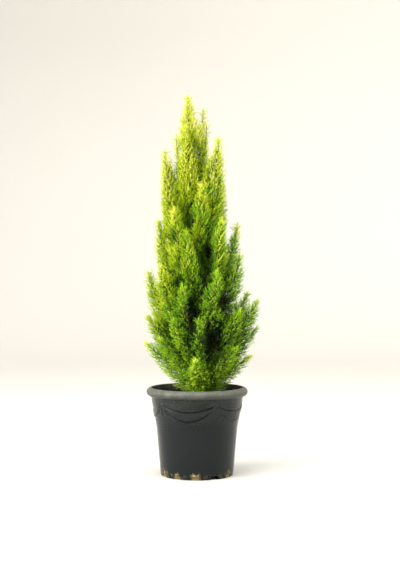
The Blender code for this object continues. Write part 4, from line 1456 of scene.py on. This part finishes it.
compostSettings = {
    "top": 208.0,
    "mound": 3.0,
    "plateau": 0.22,
    "sunk": 0.8,
    "lumps": ((1.8, 24), (1.5, 7), (0.6, 2.5)),  # height and size
    "trunk": (12, 8, 22),  # where it stands, and where the lumps round it begin and are full
    "columns": 220,
    "rings": 84,
    "middle": 0.012,  # the innermost ring, as a share of the outermost
    "footHeights": (3.6, 11.5, 17.0),  # behind the drain holes the filling has settled inwards
    "footInsets": (14.5, 13.0, 3.2),
    "waistInset": 3.15,
    "shoulder": (1.5, 12.0),  # how far in from the top's edge, and how far below the top
    "edgeFade": 3,  # the lumps end so far from the edge
}
chipSettings = {
    "count": 900,
    "sizes": ((1.0, 3.2), (0.7, 1.6), (0.4, 0.9)),  # half lengths of a bark chip along its three axes
    "fromWall": 5,
    "raised": 0.3,
}
soilSettings = {  # dried soil
    "holes": (0, 2, 4, 7, 10, 11),  # the drain holes that it has run out of
    "crumbs": 210,  # in each of them
    "crumbSize": (0.6, 1.9),
    "inset": (2.2, 1.5, 1.4),  # from the hole's sides, its top and the wall's outer face
    "archBend": 1.6,  # how soon the hole's top comes down aside
    "lowest": 0.9,
    "depth": (9, 1.5),  # into the hole, and the power that crowds the crumbs at its mouth
    "splashes": 100,  # crumbs that stick to the foot beside them
    "splashSize": (0.25, 0.7),
    "spread": (8, 6.5),  # aside and up
    "splashLowest": 3,
    "proud": 0.1,  # how far they stand out of the wall
    "flatter": (0.7, 1),
}


def earthMaterial(name, dark, light, straw, roughness):
    # earth in crumbs: two tones mixed in grains of 2 mm, with straw-coloured fibres and grit of 3 mm
    material, tree, shader, place = newMaterial(name, Roughness=roughness)
    crumbs = addNode(tree, "TexNoise", {"Vector": place, "Scale": 420, "Detail": 4, "Roughness": 0.7})
    bits = addNode(tree, "TexVoronoi", {"Vector": place, "Scale": 300})
    earth = addNode(tree, "Mix", {0: crumbs, 6: dark, 7: light}, **mixColours)
    pale = addNode(tree, "MapRange", (bits, 0.16, 0.08, 0.0, 0.5))
    mixed = addNode(tree, "Mix", {0: pale, 6: earth, 7: straw}, **mixColours)
    relief = addNode(tree, "Bump", {"Height": crumbs, "Strength": 0.8, "Distance": 0.001})
    plug(tree, shader, Base_Color=mixed, Normal=relief)
    return material


compostEdge = float(wallRadius(compostSettings["top"])) - 1.5 * potSettings["wall"]


def onCompost(flat, raised=0.0):
    # the compost's surface, or so far above it, at places whose height is 0: a low mound that falls to the
    # wall, with lumps of three sizes laid over it
    s = compostSettings
    reach = np.hypot(flat[..., 0], flat[..., 1])
    height = s["top"] + s["mound"] * (1 - ease(s["plateau"] * compostEdge, compostEdge, reach))
    lumps = sum(high * softNoise(flat, size, seed + 1) for seed, (high, size) in enumerate(s["lumps"]))
    middle, begin, full = s["trunk"]
    fromTrunk = ease(begin, full, np.hypot(flat[..., 0] - middle, flat[..., 1]))
    fromEdge = ease(compostEdge, compostEdge - s["edgeFade"], reach)
    height = height + lumps * fromEdge * fromTrunk - s["sunk"]
    return flat + upward * (height + raised)[..., None]


def buildCompost():
    # a closed body that fills the pot, its top a disc of rings lifted by the compost's own relief.
    # It is moist and near black, with brown fibres, and quite matt.
    s = compostSettings
    angle = evenTurns(s["columns"])
    footHeights = np.array(s["footHeights"])
    inset, below = s["shoulder"]
    radii = np.append(wallRadius(footHeights) - s["footInsets"],
                      (potSettings["waistRadius"] - s["waistInset"], compostEdge - inset))
    heights = np.append(footHeights, (potSettings["waistHeight"], s["top"] - below))
    rings = compostEdge * np.linspace(1, s["middle"], s["rings"])
    grid = np.concatenate((polar(radii[:, None], angle, heights[:, None]),
                           onCompost(polar(rings[:, None], angle, 0.0)))) * mm
    newPiece("pottingCompost", grid, closedTubes(grid),
             earthMaterial("moistPottingCompost", "#15100A", "#4A3722", "#8B6B42", 0.95),
             "potting_compost", ["compost"])


def scatter(chance, places, sizes):
    # an uneven crumb at each place: an icosahedron whose points are pushed in and out, stretched along
    # its three axes and turned by a random quaternion, v + 2q x (q x v + wv). None goes below the floor.
    ball = bmesh.new()
    bmesh.ops.create_icosphere(ball, subdivisions=1, radius=1)
    shape = np.array([point.co for point in ball.verts])
    faces = np.array([[point.index for point in face.verts] for face in ball.faces])
    ball.free()
    count = len(places)
    points = shape[None] * chance.uniform(0.7, 1.25, (count, len(shape), 1)) * sizes[:, None]
    turn = unit(chance.normal(size=(count, 4)))
    axis = np.broadcast_to(turn[:, None, 1:], points.shape)
    points = points + 2 * np.cross(axis, np.cross(axis, points) + turn[:, None, :1] * points)
    points = (places[:, None] + points) * mm
    points[..., 2] = np.maximum(points[..., 2], 0)
    return points, [copies(faces, count, len(shape))]


def buildChips(chance):
    # bark chips half sunk in the compost, all over its top
    s = chipSettings
    reach = (compostEdge - s["fromWall"]) * np.sqrt(chance.uniform(0.01, 1, s["count"]))
    flat = polar(reach, chance.uniform(0, 2 * np.pi, s["count"]), 0.0)
    sizes = np.stack([chance.uniform(*span, s["count"]) for span in s["sizes"]], axis=-1)
    newPiece("barkChips", *scatter(chance, onCompost(flat, s["raised"]), sizes),
             earthMaterial("compostedBarkChip", "#24170D", "#6B4A2C", "#94764C", 0.85),
             "potting_compost", ["compost"], smooth=False)


def buildDriedSoil(chance):
    # crumbs of pale dried soil that fill the drain holes it has run out of and stick to the foot there
    s, hole, foot = soilSettings, notchSettings, potSettings["footRadius"]
    turns = np.radians(hole["turn"] + 360 * np.array(s["holes"]) / hole["count"])
    turn = np.repeat(turns, s["crumbs"])
    fromSide, fromTop, fromWall = s["inset"]
    across = (hole["width"] / 2 - fromSide) * chance.uniform(-1, 1, len(turn))
    arch = (hole["height"] - fromTop) * np.sqrt(1 - (across / hole["width"] * s["archBend"]) ** 2)
    height = blend(s["lowest"], arch, chance.uniform(0, 1, len(turn)))
    deepest, power = s["depth"]
    reach = np.maximum(0, foot - fromWall - deepest * chance.uniform(0, 1, len(turn)) ** power)
    inside = polar(np.sqrt(reach**2 - across**2), turn, height) + polar(across, turn + np.pi / 2, 0.0)
    aside, up = s["spread"]
    stuck = np.repeat(turns, s["splashes"])
    stuck = stuck + chance.normal(0, aside, len(stuck)) / foot
    stuckHeight = s["splashLowest"] + np.abs(chance.normal(0, up, len(stuck)))
    outside = polar(wallRadius(stuckHeight) + s["proud"], stuck, stuckHeight)
    sizes = np.concatenate([chance.uniform(*span, (len(places), 1)) for span, places in
                            ((s["crumbSize"], inside), (s["splashSize"], outside))])
    sizes = sizes * chance.uniform(*s["flatter"], (1, 3))
    newPiece("driedSoil", *scatter(chance, np.concatenate((inside, outside)), sizes),
             earthMaterial("driedSandySoil", "#6E6145", "#A8966A", "#C9B88C", 0.97),
             "potting_compost", ["compost"], smooth=False)


buildCompost()
buildChips(chance)
buildDriedSoil(chance)
